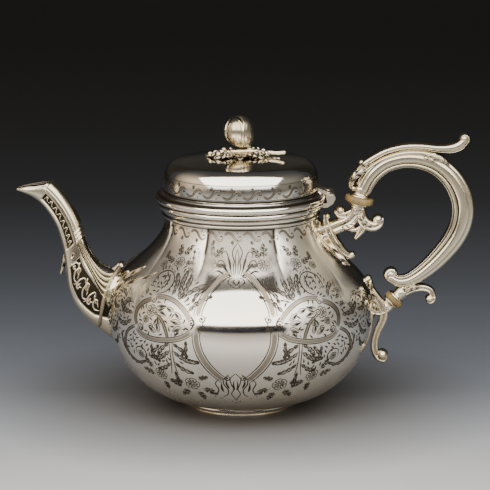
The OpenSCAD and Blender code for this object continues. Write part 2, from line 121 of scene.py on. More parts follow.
class Solid:
    """Collects grids of points, in millimetres, into one mesh with a tone at each point:
    1 is bright high metal and 0 dark, for patina in a recess and for painted shade."""

    def __init__(self):
        self.v, self.f, self.tone, self.n = [], [], [], 0

    def grid(self, p, wrap=False, caps=False, tone=1.0, ring=False):
        """p is (rows, columns, 3). wrap joins the last column to the first, and ring the
        last row to the first; caps closes the first and last rows."""
        rows, cols = p.shape[:2]
        self.v.append(p.reshape(-1, 3))
        tone = np.broadcast_to(np.asarray(tone, float), (rows, cols)) if np.ndim(tone) < 2 \
            else np.asarray(tone, float)
        self.tone.append(tone.reshape(-1))
        i = np.arange(rows if ring else rows - 1)[:, None] * cols
        after = (i + cols) % (rows * cols)
        j = np.arange(cols if wrap else cols - 1)[None, :]
        k = (j + 1) % cols
        quads = np.stack([i + j, i + k, after + k, after + j], -1).reshape(-1, 4)
        self.f.extend((quads + self.n).tolist())
        if caps:
            self.f.append([self.n + c for c in range(cols)][::-1])
            self.f.append([self.n + (rows - 1) * cols + c for c in range(cols)])
        self.n += rows * cols
        return self

    def ball(self, c, r, squash=(1, 1, 1), tone=1.0, n=12):
        """A small round berry, bead or scroll eye."""
        lat = np.linspace(-math.pi / 2, math.pi / 2, n)[:, None]
        lon = np.linspace(0, TAU, 2 * n, endpoint=False)[None, :]
        p = np.stack([np.cos(lat) * np.cos(lon), np.cos(lat) * np.sin(lon),
                      np.sin(lat) + 0 * lon], -1)
        p[0, :, :2] *= 0.01
        p[-1, :, :2] *= 0.01
        return self.grid(np.array(c) + p * r * np.array(squash), wrap=True, caps=True,
                         tone=tone)

    def make(self, name, material, body, slot, replaces=()):
        """Makes the mesh in metres as an object that rides on a body and replaces nodes."""
        mesh = bpy.data.meshes.new(name)
        mesh.from_pydata((np.vstack(self.v) * MM).tolist(), [], self.f)
        mesh.update()
        mesh.polygons.foreach_set("use_smooth", [True] * len(mesh.polygons))
        attr = mesh.attributes.new("tone", "FLOAT", "POINT")
        attr.data.foreach_set("value", np.clip(np.concatenate(self.tone), 0, 1))
        mesh.materials.append(material)
        obj = new_object(name, mesh)
        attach(obj, body)
        if replaces:
            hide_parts(*replaces)
        return obj


def recess(v, reach=5):
    """How far each value lies below its neighbours' running mean, for tones."""
    k = np.ones(2 * reach + 1) / (2 * reach + 1)
    pad = np.concatenate([v[-reach:], v, v[:reach]])
    return np.convolve(pad, k, "valid") - v


def rods(parts, n=40, power=2.0, dark=15):
    """Section of a moulding made of side-by-side rods, as (u, v) round the outside.
    Each rod is (centre, half width, height) across -1..1; the surface is their union."""
    u = -np.cos(np.linspace(0, math.pi, n))
    v = np.zeros(n)
    for c, w, h in parts:
        t = np.clip(1 - np.abs((u - c) / w) ** power, 0, None)
        v = np.maximum(v, h * t ** (1 / power))
    ring = np.concatenate([np.stack([u, v], 1), np.stack([u, -v], 1)[::-1][1:-1]])
    low = np.concatenate([recess(v), recess(v)[::-1][1:-1]])
    return ring, np.clip(1 - dark * np.clip(low, 0, 1), 0.0, 1)


def sweep(solid, path, section, steps=5):
    """Sweeps a section along a path in the XZ plane and rounds both ends. Each path point
    is (x, z, half width in the plane, half depth along Y)."""
    ring, tone = section
    p = smooth(path, steps)
    n = normals_2d(p[:, :2])
    d = np.stack([n[:, 1], -n[:, 0]], 1)

    def end_rows(end, sign):
        rows = np.tile(p[end], (len(END_ANGLES), 1))
        rows[:, :2] += sign * d[end] * p[end, 2] * np.sin(END_ANGLES)[:, None]
        rows[:, 2:] *= np.cos(END_ANGLES)[:, None]
        return rows
    p = np.vstack([end_rows(0, -1)[::-1], p, end_rows(-1, 1)])
    n = np.pad(n, ((len(END_ANGLES),) * 2, (0, 0)), "edge")
    u = p[:, 2:3] * ring[None, :, 0]
    grid = np.stack([p[:, 0:1] + n[:, 0:1] * u, p[:, 3:4] * ring[None, :, 1],
                     p[:, 1:2] + n[:, 1:2] * u], -1)
    solid.grid(grid, wrap=True, caps=True, tone=np.tile(tone, (len(p), 1)))


END_ANGLES = np.radians([30, 55, 75, 86])
ROUND = rods([(0, 1, 1)], 14)
RIBBED = rods([(-0.62, 0.38, 0.8), (0.0, 0.42, 1.0), (0.62, 0.38, 0.8), (0, 0.97, 0.66)], 36)
TWO_ROLL = rods([(-0.46, 0.54, 0.88), (0.44, 0.56, 1.0), (0, 0.9, 0.7)], 36, dark=4)


def volute(solid, cx, cz, r, a0, turns, hw, hd):
    """A rolled scroll end: a spiral strand closing on a round eye."""
    n = 16
    s = spiral(cx, cz, r, r * 0.3, a0, a0 + 360 * turns, n)
    w = np.linspace(hw, hw * 0.6, n + 1)
    d = np.linspace(hd, hd * 0.8, n + 1)
    sweep(solid, np.column_stack([s, w, d]), ROUND, 2)
    solid.ball((cx, 0, cz), hw * 0.95, (1, hd / hw * 1.08, 1))


def leaf(solid, spine, up, width, lobes=4, crown=0.9, thick=0.5, vein=0.25, cup=0.0):
    """A chased leaf. spine is (rows, 3), up its normals; width is a half width or an array.
    lobes scallop the edges, crown arches it, vein cuts ribs, cup rolls the edges up."""
    spine = smooth(spine, 5)
    rows = len(spine)
    t = np.linspace(0, 1, rows)[:, None]
    up = np.array([np.interp(t[:, 0], np.linspace(0, 1, len(up)), np.array(up)[:, k])
                   for k in range(3)]).T
    up /= np.linalg.norm(up, axis=1)[:, None]
    along = np.gradient(spine, axis=0)
    along /= np.linalg.norm(along, axis=1)[:, None]
    side = np.cross(along, up)
    side /= np.linalg.norm(side, axis=1)[:, None]
    a = np.linspace(-1, 1, 17)[None, :]
    shape = np.sin(math.pi * np.clip(t, 0.02, 0.985) ** 0.75) ** 0.65
    scallop = 1 - 0.2 * np.abs(np.cos(math.pi * lobes * t)) ** 3
    w = width * shape * scallop
    ribs = np.cos(TAU * (lobes * t + 0.45 * np.abs(a)))
    mid = np.exp(-(a / 0.12) ** 2)
    h = crown * (1 - a * a) * shape - vein * 0.5 * (1 - ribs) * (1 - mid) * shape \
        + 0.5 * vein * mid + cup * a ** 4
    top = spine[:, None] + side[:, None] * (w * a)[..., None] + up[:, None] * h[..., None]
    low = spine[:, None] + side[:, None] * (w * a * 0.98)[..., None] \
        + up[:, None] * (h - thick)[..., None]
    # tone: darker in the rib grooves; the underside gets half of it as painted shade
    tone = np.clip(1 - 0.85 * 0.5 * (1 - ribs) ** 1.5 * (1 - mid), 0.1, 1)
    ring = np.concatenate([top, low[:, ::-1]], 1)
    solid.grid(ring, wrap=True, caps=True, tone=np.concatenate([tone, 0.5 * tone[:, ::-1]], 1))


def leaf_pair(solid, spine, up, width, **shape):
    """A leaf on each side of the XZ plane; spine and up are given for the +Y side."""
    for y in (-1, 1):
        flip = np.array([1, y, 1])
        leaf(solid, np.array(spine) * flip, [np.array(up) * flip] * len(spine), width, **shape)


# ---------------------------------------------------------------- surfaces to chase

class Turned:
    """A surface of revolution about Z. s runs up the outline from zero at a chosen height;
    theta is zero at the front and grows towards +X."""

    def __init__(self, outline, zero_z, dent=None):
        p = np.array(outline, float)
        if p[0, 1] > p[-1, 1]:
            p = p[::-1]
        p = resample(p, 0.4)
        s = lengths(p)
        self.s = s - np.interp(zero_z, p[:, 1], s)
        self.r, self.z = p[:, 0], p[:, 1]
        n = -normals_2d(p)
        self.nr, self.nz = n[:, 0], n[:, 1]
        self.dent = dent

    def s_at(self, z):
        return float(np.interp(z, self.z, self.s))

    def radius(self, s):
        return np.interp(s, self.s, self.r)

    def at(self, theta, s, h=0.0):
        r, z = np.interp(s, self.s, self.r), np.interp(s, self.s, self.z)
        nr, nz = np.interp(s, self.s, self.nr), np.interp(s, self.s, self.nz)
        if self.dent is not None:
            h = h + self.dent(theta, z)
        r = r + nr * h
        return np.stack([r * np.sin(theta), -r * np.cos(theta), z + nz * h], -1)


class Chart:
    """Millimetre coordinates (x right, y up) on a surface, about a point of it."""

    def __init__(self, surface, degrees, z):
        self.f, self.theta, self.s = surface, math.radians(degrees), surface.s_at(z)

    def at(self, pts, h):
        s = self.s + pts[:, 1]
        return self.f.at(self.theta + pts[:, 0] / self.f.radius(s), s, h)


# Rows across an engraved stroke: place, height over the silver and tone. The strokes are
# open strips just above the skin, dark in the middle, and aren't cut into it.
CROSS = {"line": [(-1, 0.05, 0.35), (0, 0.015, 0.0), (1, 0.05, 0.35)],
         "comma": [(-1, 0.05, 0.3), (-0.4, 0.02, 0.0), (0.35, 0.02, 0.22), (1, 0.05, 0.55)],
         "grey": [(-1, 0.05, 0.12), (-0.74, 0.03, 0.1), (-0.5, 0.035, 0.60),
                  (0.5, 0.035, 0.66), (0.74, 0.03, 0.1), (1, 0.05, 0.12)],
         "shade": [(-1, 0.045, 0.95), (0, 0.035, 0.78), (1, 0.045, 0.95)]}


class Graver(Solid):
    """Lays the strokes of the engraving, lines, commas and shaded bands, on a chart; marks
    keeps the points they pass through."""

    def __init__(self):
        super().__init__()
        self.marks = []

    def line(self, chart, pts, width=0.42, kind="line"):
        pts = np.array(pts, float)
        long = lengths(pts)[-1]
        p = resample(pts, min(0.8, long / 3.01))
        t = np.linspace(0, 1, len(p))
        swell = {"line": 0.4 + 0.6 * np.sin(math.pi * t) ** 0.5,
                 "comma": 0.16 + 0.84 * np.sin(math.pi * t ** 1.5) ** 0.8,
                 "grey": np.clip(4 * np.sin(math.pi * t), 0.35, 1),
                 "shade": np.clip(4 * np.sin(math.pi * t), 0.2, 1)}[kind]
        w = (width * swell)[:, None] / 2
        n = normals_2d(p)
        self.marks.append(chart.at(p, 0.0))
        self.grid(np.stack([chart.at(p + n * w * a, h) for a, h, _ in CROSS[kind]], 1),
                  tone=np.tile([k for _, _, k in CROSS[kind]], (len(p), 1)))

    def motif(self, chart, strokes):
        for pts, width, kind in strokes:
            self.line(chart, pts, width, kind)


# ---------------------------------------------------------------- engraved motifs
# A stroke is (points, width, kind); a motif is a list of strokes.

FINE, CUT, BOLD = 0.30, 0.46, 0.80


def move(strokes, at=(0, 0), turn=0.0, flip=1):
    """Strokes turned, then mirrored in x when flip is -1, then moved."""
    c, k = math.cos(math.radians(turn)), math.sin(math.radians(turn))
    out = []
    for pts, width, kind in strokes:
        q = np.array(pts, float)
        q = np.stack([c * q[:, 0] - k * q[:, 1], k * q[:, 0] + c * q[:, 1]], 1)
        q[:, 0] *= flip
        out.append((q + np.array(at), width, kind))
    return out


def arc(l, bend, n=8, ease_in=1.0):
    """A line of length l along +x that turns by so many degrees."""
    t = np.linspace(0, 1, n)
    a = np.radians(bend) * t ** ease_in
    return np.vstack([[0, 0], np.cumsum(np.stack([np.cos(a), np.sin(a)], 1) * l / n, 0)])


def comma(l, bend, w=BOLD):
    """The graver's single cut, thick at its head."""
    return [(arc(l, bend), w, "comma")]


def lobes(path, n, size, side, lean=46, hook=-70, w=BOLD, start=0.1, end=0.97):
    """Comma lobes along a path, largest in its middle, that sweep towards its tip."""
    p = resample(np.array(path, float), 0.5)
    d = np.degrees(np.arctan2(*np.gradient(p, axis=0).T[::-1]))
    out = []
    for k in range(n):
        f = start + (end - start) * k / max(n - 1, 1)
        i = min(int(f * (len(p) - 1)), len(p) - 1)
        l = size * (0.45 + 0.55 * math.sin(math.pi * (0.12 + 0.76 * k / max(n - 1, 1))))
        out += move(comma(l, hook * side, w), p[i], d[i] + lean * side)
    return out


def frond(l, bend, n, reach, sides=(1, -1), w=BOLD, ease_in=1.3):
    """An acanthus frond along +x: a double stem with comma lobes on the sides given."""
    p = arc(l, bend, 18, ease_in)
    out = [(p, CUT, "line"), (p[2:-3] + normals_2d(p)[2:-3] * 0.75, FINE, "line"),
           (p - normals_2d(p) * 0.6, FINE, "line")]
    for side in sides:
        out += lobes(p, n, reach * 1.6, side, hook=-88, w=w)
    return out + move(comma(reach * 0.7, 0, w), p[-1], bend)


def leaflet(l, w):
    """A pointed leaf along +x with a rib, dark on its lower half."""
    up = arc(1, 0, 10) * l
    t = up[:, 0] / l
    belly = w * np.sin(math.pi * t ** 0.8)
    return [(np.stack([up[:, 0], belly], 1), CUT, "line"),
            (np.stack([up[:, 0], -belly], 1), CUT, "line"),
            (np.stack([up[:, 0], -0.45 * belly], 1)[2:-1], w * 0.8, "comma"),
            (np.stack([up[:, 0], 0.05 * belly], 1)[1:-2], FINE, "line")]


def sprig(l, w=0.9, pairs=2):
    """A small twig with paired leaves."""
    p = arc(l, 14)
    out = [(p, CUT, "line")]
    for k in range(pairs):
        q = p[2 + 3 * k]
        for side in (1, -1):
            out += move(leaflet(l * 0.36, w), q, 48 * side)
    return out + move(leaflet(l * 0.36, w), p[-2], 12)


def ring(r, n=9):
    return spiral(0, 0, r, r, 0, 360, n)


def blossom(r, petals=5):
    """An open flower: round petals with shading towards a beaded eye."""
    out = [(ring(0.24 * r), CUT, "line")]
    for k in range(petals):
        a = 90 + 360 * k / petals
        loop = chain(bezier((0.26 * r, -0.1 * r), (0.3 * r, -0.62 * r), (1.1 * r, -0.62 * r),
                            (1.0 * r, 0), 7),
                     bezier((1.0 * r, 0), (1.1 * r, 0.62 * r), (0.3 * r, 0.62 * r),
                            (0.26 * r, 0.1 * r), 7))
        out += move([(loop, CUT, "line")], turn=a)
        out += move([([(0.3 * r, 0), (0.5 * r, 0.02 * r), (0.78 * r, 0)], 0.26 * r, "comma")],
                    turn=a)
        out += move(comma(0.3 * r, 0, 0.5), (0.27 * r, -0.12 * r), a - 18)
    return out


def dot(r=0.35):
    return [(spiral(0, 0, r * 0.5, r * 0.4, 0, 360, 6), r * 1.4, "line")]


def curl(r, turns=1.2, start=0, w=CUT):
    return [(spiral(0, 0, r, r * 0.2, start, start + 360 * turns, 20), w, "line")]


def running_scroll(graver, surface, z, count, height, start=0.0, up=1):
    """A wave scroll right round the surface, with a small leaf in each hollow and a dot
    under each crest; up is -1 for a band that hangs."""
    pitch = TAU * surface.radius(surface.s_at(z)) / count
    for k in range(count):
        c = Chart(surface, start + 360 * (k + 0.5) / count, z)
        def at(*pts):
            return smooth(np.array(pts) * [pitch, height * up], 5)
        graver.line(c, at((-0.60, -0.20), (-0.42, -0.42), (-0.22, -0.34), (-0.06, -0.02),
                          (0.08, 0.22), (0.24, 0.24), (0.33, 0.06)), 1.25, "grey")
        graver.line(c, at((0.33, 0.06), (0.30, -0.10), (0.19, -0.10), (0.17, 0.04)), 0.7,
                    "comma")
        leaf_at = np.array([-0.16 * pitch, 0.22 * height * up])
        graver.motif(c, move(leaflet(0.36 * height, 0.11 * height), leaf_at, 84 * up))
        graver.motif(c, move(dot(0.55), (0.10 * pitch, -0.42 * height * up)))


# ---------------------------------------------------------------- materials

def principled(name, **sockets):
    """A material with a principled shader and constants set on its sockets."""
    m = bpy.data.materials.new(name)
    m.use_nodes = True
    tree = m.node_tree
    bsdf = tree.nodes["Principled BSDF"]
    for key, value in sockets.items():
        bsdf.inputs[key.replace("_", " ")].default_value = value
    return m, tree, bsdf


def mix_colour(tree, fac, a, b):
    """A colour mix; fac, a and b are sockets or values."""
    node = tree.nodes.new("ShaderNodeMix")
    node.data_type = "RGBA"
    for socket, value in ((node.inputs[0], fac), (node.inputs[6], a), (node.inputs[7], b)):
        if isinstance(value, bpy.types.NodeSocket):
            tree.links.new(value, socket)
        else:
            socket.default_value = (*value, 1) if isinstance(value, tuple) else value
    return node.outputs[2]


def noise(tree, scale, detail=4.0, stretch=(1, 1, 1)):
    """Noise in object space; a stretch below 1 draws it out along that axis."""
    co = tree.nodes.new("ShaderNodeTexCoord")
    mp = tree.nodes.new("ShaderNodeMapping")
    mp.inputs["Scale"].default_value = stretch
    nz = tree.nodes.new("ShaderNodeTexNoise")
    nz.inputs["Scale"].default_value = scale
    nz.inputs["Detail"].default_value = detail
    nz.inputs["Roughness"].default_value = 0.55
    tree.links.new(co.outputs["Object"], mp.inputs["Vector"])
    tree.links.new(mp.outputs["Vector"], nz.inputs["Vector"])
    return nz.outputs["Fac"]


def ramp(tree, value, low, high, out_low=0.0, out_high=1.0):
    """Maps low..high to out_low..out_high, held at both ends."""
    node = tree.nodes.new("ShaderNodeMapRange")
    for key, number in (("From Min", low), ("From Max", high), ("To Min", out_low),
                        ("To Max", out_high)):
        node.inputs[key].default_value = number
    tree.links.new(value, node.inputs["Value"])
    return node.outputs["Result"]


def attribute(tree, name):
    """The value stored at the mesh's points under a name."""
    node = tree.nodes.new("ShaderNodeAttribute")
    node.attribute_name = name
    return node.outputs["Fac"]


def add_bump(tree, bsdf, height, strength, distance):
    bump = tree.nodes.new("ShaderNodeBump")
    bump.inputs["Strength"].default_value = strength
    bump.inputs["Distance"].default_value = distance
    tree.links.new(height, bump.inputs["Height"])
    tree.links.new(bump.outputs["Normal"], bsdf.inputs["Normal"])


def maths(tree, op, a, b):
    """A two-value math node; a and b are sockets or values."""
    node = tree.nodes.new("ShaderNodeMath")
    node.operation = op
    for socket, value in zip(node.inputs, (a, b)):
        if isinstance(value, bpy.types.NodeSocket):
            tree.links.new(value, socket)
        else:
            socket.default_value = value
    return node.outputs[0]


def silver(name, bright, dark, rough, tones=True, wobble=0.03, grain=0.02):
    """Silver: warm and cool drifts, soft wear in the gloss, hairline polish marks, and
    patina and painted shade wherever the tone attribute is low."""
    m, tree, bsdf = principled(name, Metallic=1.0)
    drift = noise(tree, 22, 3)
    warm = tuple(b * k for b, k in zip(bright, (1.02, 0.985, 0.93)))
    colour = mix_colour(tree, ramp(tree, drift, 0.4, 0.65), bright, warm)
    hairs = noise(tree, 260, 3, (1, 1, 0.12))
    gloss = ramp(tree, noise(tree, 60, 5), 0.35, 0.7, rough * 0.75, rough * 1.35)
    if tones:
        # a low tone darkens and roughens the silver: patina, and painted shade where a part's
        # tone is set for it
        patina = noise(tree, 420, 4)
        low = maths(tree, "SUBTRACT", attribute(tree, "tone"),
                    ramp(tree, patina, 0.3, 0.7, -0.02, 0.035))
        fac = ramp(tree, low, 0.12, 0.78)
        colour = mix_colour(tree, fac, dark, colour)
        gloss = maths(tree, "ADD", gloss, ramp(tree, low, 0.1, 0.7, 0.34, 0.0))
        gloss = maths(tree, "ADD", gloss, ramp(tree, attribute(tree, "haze"), 0, 1, 0, 0.26))
    tree.links.new(colour, bsdf.inputs["Base Color"])
    tree.links.new(gloss, bsdf.inputs["Roughness"])
    soft = noise(tree, 34, 2)
    height = maths(tree, "ADD", maths(tree, "MULTIPLY", soft, wobble * 30),
                   maths(tree, "MULTIPLY", hairs, grain))
    add_bump(tree, bsdf, height, 0.35, 0.0001)
    return m


def bone(name):
    """Yellowed bone: lengthwise pores, brown soaking and a soft polish."""
    m, tree, bsdf = principled(name, IOR=1.5)
    base = mix_colour(tree, ramp(tree, noise(tree, 180, 4), 0.35, 0.7),
                      (0.27, 0.19, 0.072), (0.17, 0.11, 0.04))
    pores = ramp(tree, noise(tree, 900, 3, (1, 1, 0.2)), 0.55, 0.75)
    base = mix_colour(tree, pores, base, (0.12, 0.07, 0.025))
    tree.links.new(base, bsdf.inputs["Base Color"])
    tree.links.new(ramp(tree, noise(tree, 120, 3), 0.3, 0.7, 0.3, 0.52),
                   bsdf.inputs["Roughness"])
    add_bump(tree, bsdf, noise(tree, 700, 4, (1, 1, 0.3)), 0.4, 0.0002)
    return m


RAISED = silver("silver_raised", (0.93, 0.885, 0.79), (0.07, 0.058, 0.042), 0.10)
CAST = silver("silver_cast", (0.73, 0.655, 0.495), (0.03, 0.024, 0.015), 0.20,
              wobble=0.06, grain=0.05)
ENGRAVED = silver("silver_engraved", (0.36, 0.315, 0.25), (0.03, 0.025, 0.018), 0.34,
                  wobble=0.02, grain=0.05)
INNER = silver("silver_inside", (0.80, 0.76, 0.66), (0.2, 0.18, 0.14), 0.32, tones=False)
RAISED_WIRE = silver("silver_wire", (0.93, 0.885, 0.80), (0.2, 0.18, 0.14), 0.14,
                     tones=False)
CAST_WIRE = silver("silver_hinge", (0.84, 0.77, 0.64), (0.2, 0.18, 0.14), 0.24,
                   wobble=0.06, tones=False)
BONE = bone("old_bone")


# ---------------------------------------------------------------- turned parts

def lathe(solid, profile, cols=320, tone=None, place=None, closed=True):
    """Turns a profile of [radius, height] about Z. A closed profile makes a ring; an open
    one must start and end on the axis. place maps the points afterwards."""
    p = np.array(profile, float)
    a = np.linspace(0, TAU, cols, endpoint=False)[None, :]
    r = np.maximum(p[:, 0:1], 0.02)
    g = np.stack([r * np.cos(a), r * np.sin(a), p[:, 1:2] + 0 * a], -1)
    if place is not None:
        g = place(g)
    if tone is None:
        t = 1.0
    else:
        t = np.tile(np.array(tone)[:, None], (1, cols))
    solid.grid(g, wrap=True, caps=not closed, tone=t, ring=closed)
    return solid


def at_joint(centre, tilt):
    """Puts points made along +Z at a joint whose axis leans by tilt towards +X."""
    c, k = math.cos(math.radians(tilt)), math.sin(math.radians(tilt))
    return lambda g: np.stack([c * g[..., 0] + k * g[..., 2], g[..., 1],
                               c * g[..., 2] - k * g[..., 0]], -1) + np.array(centre)


def cut(obj, cutter_solid, name):
    """Subtracts a closed solid from an object's mesh, and says so when nothing changed."""
    mesh = bpy.data.meshes.new(name)
    mesh.from_pydata((np.vstack(cutter_solid.v) * MM).tolist(), [], cutter_solid.f)
    tool = new_object(name, mesh)
    for m in (obj.data, mesh):
        outward(m)
    mod = obj.modifiers.new("cut", "BOOLEAN")
    mod.operation, mod.solver, mod.object = "DIFFERENCE", "MANIFOLD", tool
    bpy.context.view_layer.update()
    graph = bpy.context.evaluated_depsgraph_get()
    done = bpy.data.meshes.new_from_object(obj.evaluated_get(graph))
    obj.modifiers.clear()
    if len(done.vertices) == len(obj.data.vertices):
        print("cut changed nothing:", obj.name)
    if len(done.polygons) > 100:
        old, obj.data = obj.data, done
        name = old.name
        bpy.data.meshes.remove(old)
        done.name = name
    else:
        print("cut left nothing:", obj.name)
    bpy.data.objects.remove(tool)
    bpy.data.meshes.remove(mesh)


def peg(solid, axis, span, centre, r, n):
    """A closed cylinder for cutting with: axis is 0, 1 or 2, span its two ends along it and
    centre the other two coordinates."""
    a = np.linspace(0, TAU, n, endpoint=False)
    rim = np.stack([centre[0] + r * np.cos(a), centre[1] + r * np.sin(a)], 1)
    solid.grid(np.array([np.insert(rim, axis, end, 1) for end in span]), wrap=True, caps=True)


def outward(mesh):
    """Turns every face of a closed mesh to look outwards."""
    bm = bmesh.new()
    bm.from_mesh(mesh)
    bmesh.ops.recalc_face_normals(bm, faces=bm.faces)
    bm.to_mesh(mesh)
    bm.free()


# ---------------------------------------------------------------- the body

FLOOR_Z = 3.6                       # underside of the bowl, inside the foot ring
BELLY, BELLY_Z = 73.8, 54           # largest radius, and its height
SHOULDER = (61, 78.7)
NECK, NECK_TOP = 41.5, 112
WALL = 0.9
AXIS = 0.03                         # radius that stands for the axis, so no row is a point
STRAINER_Z, STRAINER_PITCH, STRAINER_HOLE = 58, 4.6, 1.5

body_outline = chain(
    bezier((31, FLOOR_Z), (60, 8), (BELLY, 34), (BELLY, BELLY_Z), 60),
    bezier((BELLY, BELLY_Z), (BELLY, 66), (67.8, 72.8), SHOULDER, 30),
    bezier(SHOULDER, (52, 86.5), (NECK, 96), (NECK, 106), 40))


def creases(z):
    """Angles of the two creases of the front quarter at height z, in degrees."""
    t = np.clip((106 - z) / 25, 0, 1.6)
    return 25.6 - 1.6 * t, 67 - 9 * t


def panels(theta, z):
    """Depth of the eight soft panels of the neck below the round surface."""
    a = np.abs((np.degrees(theta) + 180) % 360 - 180)
    a = np.where(a > 90, 180 - a, a)
    c1, c2 = creases(z)
    front, side = ease(z, 80, 87), ease(z, 58, 74)
    q = np.where(a < c1, a / c1, np.where(a < c2, (2 * a - c1 - c2) / (c2 - c1),
                                          (90 - a) / (90 - c2)))
    depth = np.where(a < c1, front, np.where(a < c2, np.where(q < 0, front, side), side))
    q = np.abs(q)
    top = np.clip((108 - z) / 1.5, 0, 1)
    return -depth * top * (0.24 * q ** 2.2 + 0.85 * q ** 18)


BODY = Turned(body_outline, BELLY_Z, panels)


def body_rows(profile):
    """Grid of the panelled body through a profile of [radius, height], with columns on the
    creases."""
    per = 46
    f = 0.5 - 0.5 * np.cos(np.pi * np.arange(per) / per)
    f = 0.55 * f + 0.45 * np.arange(per) / per
    out = []
    for r, z in profile:
        c1, c2 = (float(c) for c in creases(z))
        marks = [-c1, c1, c2, 180 - c2, 180 - c1, 180 + c1, 180 + c2, 360 - c2, 360 - c1]
        t = np.concatenate([marks[k] + (marks[k + 1] - marks[k]) * f for k in range(8)])
        t = np.radians(t)
        rr = r + panels(t, np.full_like(t, z)) * (1.0 if r > 30 else 0.0)
        out.append(np.stack([rr * np.sin(t), -rr * np.cos(t), np.full_like(t, z)], -1))
    return np.array(out)


def make_body():
    outer = resample(body_outline, 0.92)
    inner = resample(outer + normals_2d(outer) * WALL, 2.2)
    inner = inner[inner[:, 1] > 4.7]
    up = np.vstack([[AXIS, FLOOR_Z], [20, FLOOR_Z], outer, [NECK, 109], [NECK, NECK_TOP]])
    down = np.vstack([[NECK - WALL, NECK_TOP], [NECK - WALL, 108], inner[::-1],
                      [26, FLOOR_Z + WALL], [AXIS, FLOOR_Z + WALL]])
    g = body_rows(np.vstack([up, down]))
    n = len(up)
    tone = np.full(g.shape[:2], 0.55)
    # painted shade: the neck's front panels are painted darker, with a painted dark line of
    # shade down each crease and under the collar
    angle = np.abs(np.degrees(np.arctan2(g[:n, :, 0], np.abs(g[:n, :, 1]))))
    z = g[:n, :, 2]
    c1, c2 = creases(z)
    panel_shade = np.where(angle < c1, 0.62, np.where(angle < c2, 0.06, 0))
    line = np.exp(-((np.abs(angle - c1 - 0.3)) / 0.7) ** 2)
    tone[:n] = 1 - panel_shade * np.clip((z - 82) / 7, 0, 1) - line * np.clip((z - 88) / 7, 0, 1)
    # painted shadow: a dark row where the collar sits on the body
    tone[:n][np.abs(up[:, 1] - 106.1) < 0.75] = 0.0
    s = Solid()
    s.grid(g, wrap=True, caps=True, tone=tone)
    obj = s.make("body_raised", RAISED, POT, "silver_raised", ["body_shell"])
    holes = Solid()
    for row in range(-2, 3):
        for k in range(-2, 3):
            y = (k + (0 if row % 2 == 0 else 0.5)) * STRAINER_PITCH
            z = STRAINER_Z + row * STRAINER_PITCH * 0.87
            if abs(y) < 9 and math.hypot(y, z - STRAINER_Z) < 10.5:
                peg(holes, 0, (-76.0, -64.0), (y, z), STRAINER_HOLE, 20)
    cut(obj, holes, "strainer")
    wear(obj)


def wear(obj):
    """Marks where the body has lost its mirror polish: the neck, the low belly, and the
    chased ground either side of the two cartouches."""
    mesh = obj.data
    co = np.zeros(len(mesh.vertices) * 3)
    mesh.vertices.foreach_get("co", co)
    x, y, z = co.reshape(-1, 3).T / MM
    a = np.abs(np.degrees(np.arctan2(x, np.abs(y))))
    chased = ease(a, 17, 21) * ease(a, 78, 62) * ease(z, 20, 30) * ease(z, 100, 88)
    neck = np.maximum(ease(z, 82, 87) * ease(a, 70, 62), 0.8 * ease(z, 40, 26))
    attr = mesh.attributes.new("haze", "FLOAT", "POINT")
    attr.data.foreach_set("value", np.clip(np.maximum(chased, 0.9 * neck), 0, 1))


def body_cutter():
    """The body's whole volume, a little inside its skin, to trim what is soldered on."""
    outer = resample(body_outline, 1.6)
    outer = outer + normals_2d(outer) * 0.12
    s = Solid()
    s.grid(body_rows(np.vstack([[AXIS, FLOOR_Z], outer, [41.4, NECK_TOP], [AXIS, NECK_TOP]])),
           wrap=True, caps=True)
    return s


def make_collar():
    prof = chain(bezier((41.4, 106.3), (43.6, 106.2), (43.8, 108.2), (43.0, 108.2), 12),
                 bezier((43.0, 108.2), (42.6, 109.6), (43.0, 110.9), (44.4, 111.4), 12),
                 bezier((44.4, 111.4), (45.9, 111.6), (45.9, 114.1), (44.6, 114.3), 16))
    # painted shadow lines: dark rows at the foot of the collar, in its groove, at the start of
    # the top bead and under the lid's bead; the rows inside are a little darker
    tone = np.ones(len(prof))
    tone[:3] = 0.0
    tone[10:15] = 0.0
    tone[24:28] = 0.05
    tone[-4:] = 0.0
    prof = np.vstack([prof, [40.5, 114.3], [40.5, 112.05], [41.4, 112.05]])
    s = lathe(Solid(), prof, 420, np.r_[tone, 0.7, 0.6, 0.5])
    s.make("collar_moulded", RAISED, POT, "silver_raised", ["neck_collar"])


# ---------------------------------------------------------------- the lid

DOME_Z, DOME_TOP = 120.8, 139.6
HINGE, BARREL_ROOM = (49, 117.2), 2.8
dome_outline = chain(bezier((42.3, DOME_Z), (43.4, 128), (42, 134.6), (36, 136.6), 44),
                     bezier((36, 136.6), (24, 138.8), (12, DOME_TOP), (0, DOME_TOP), 30))
DOME = Turned(dome_outline, 126)


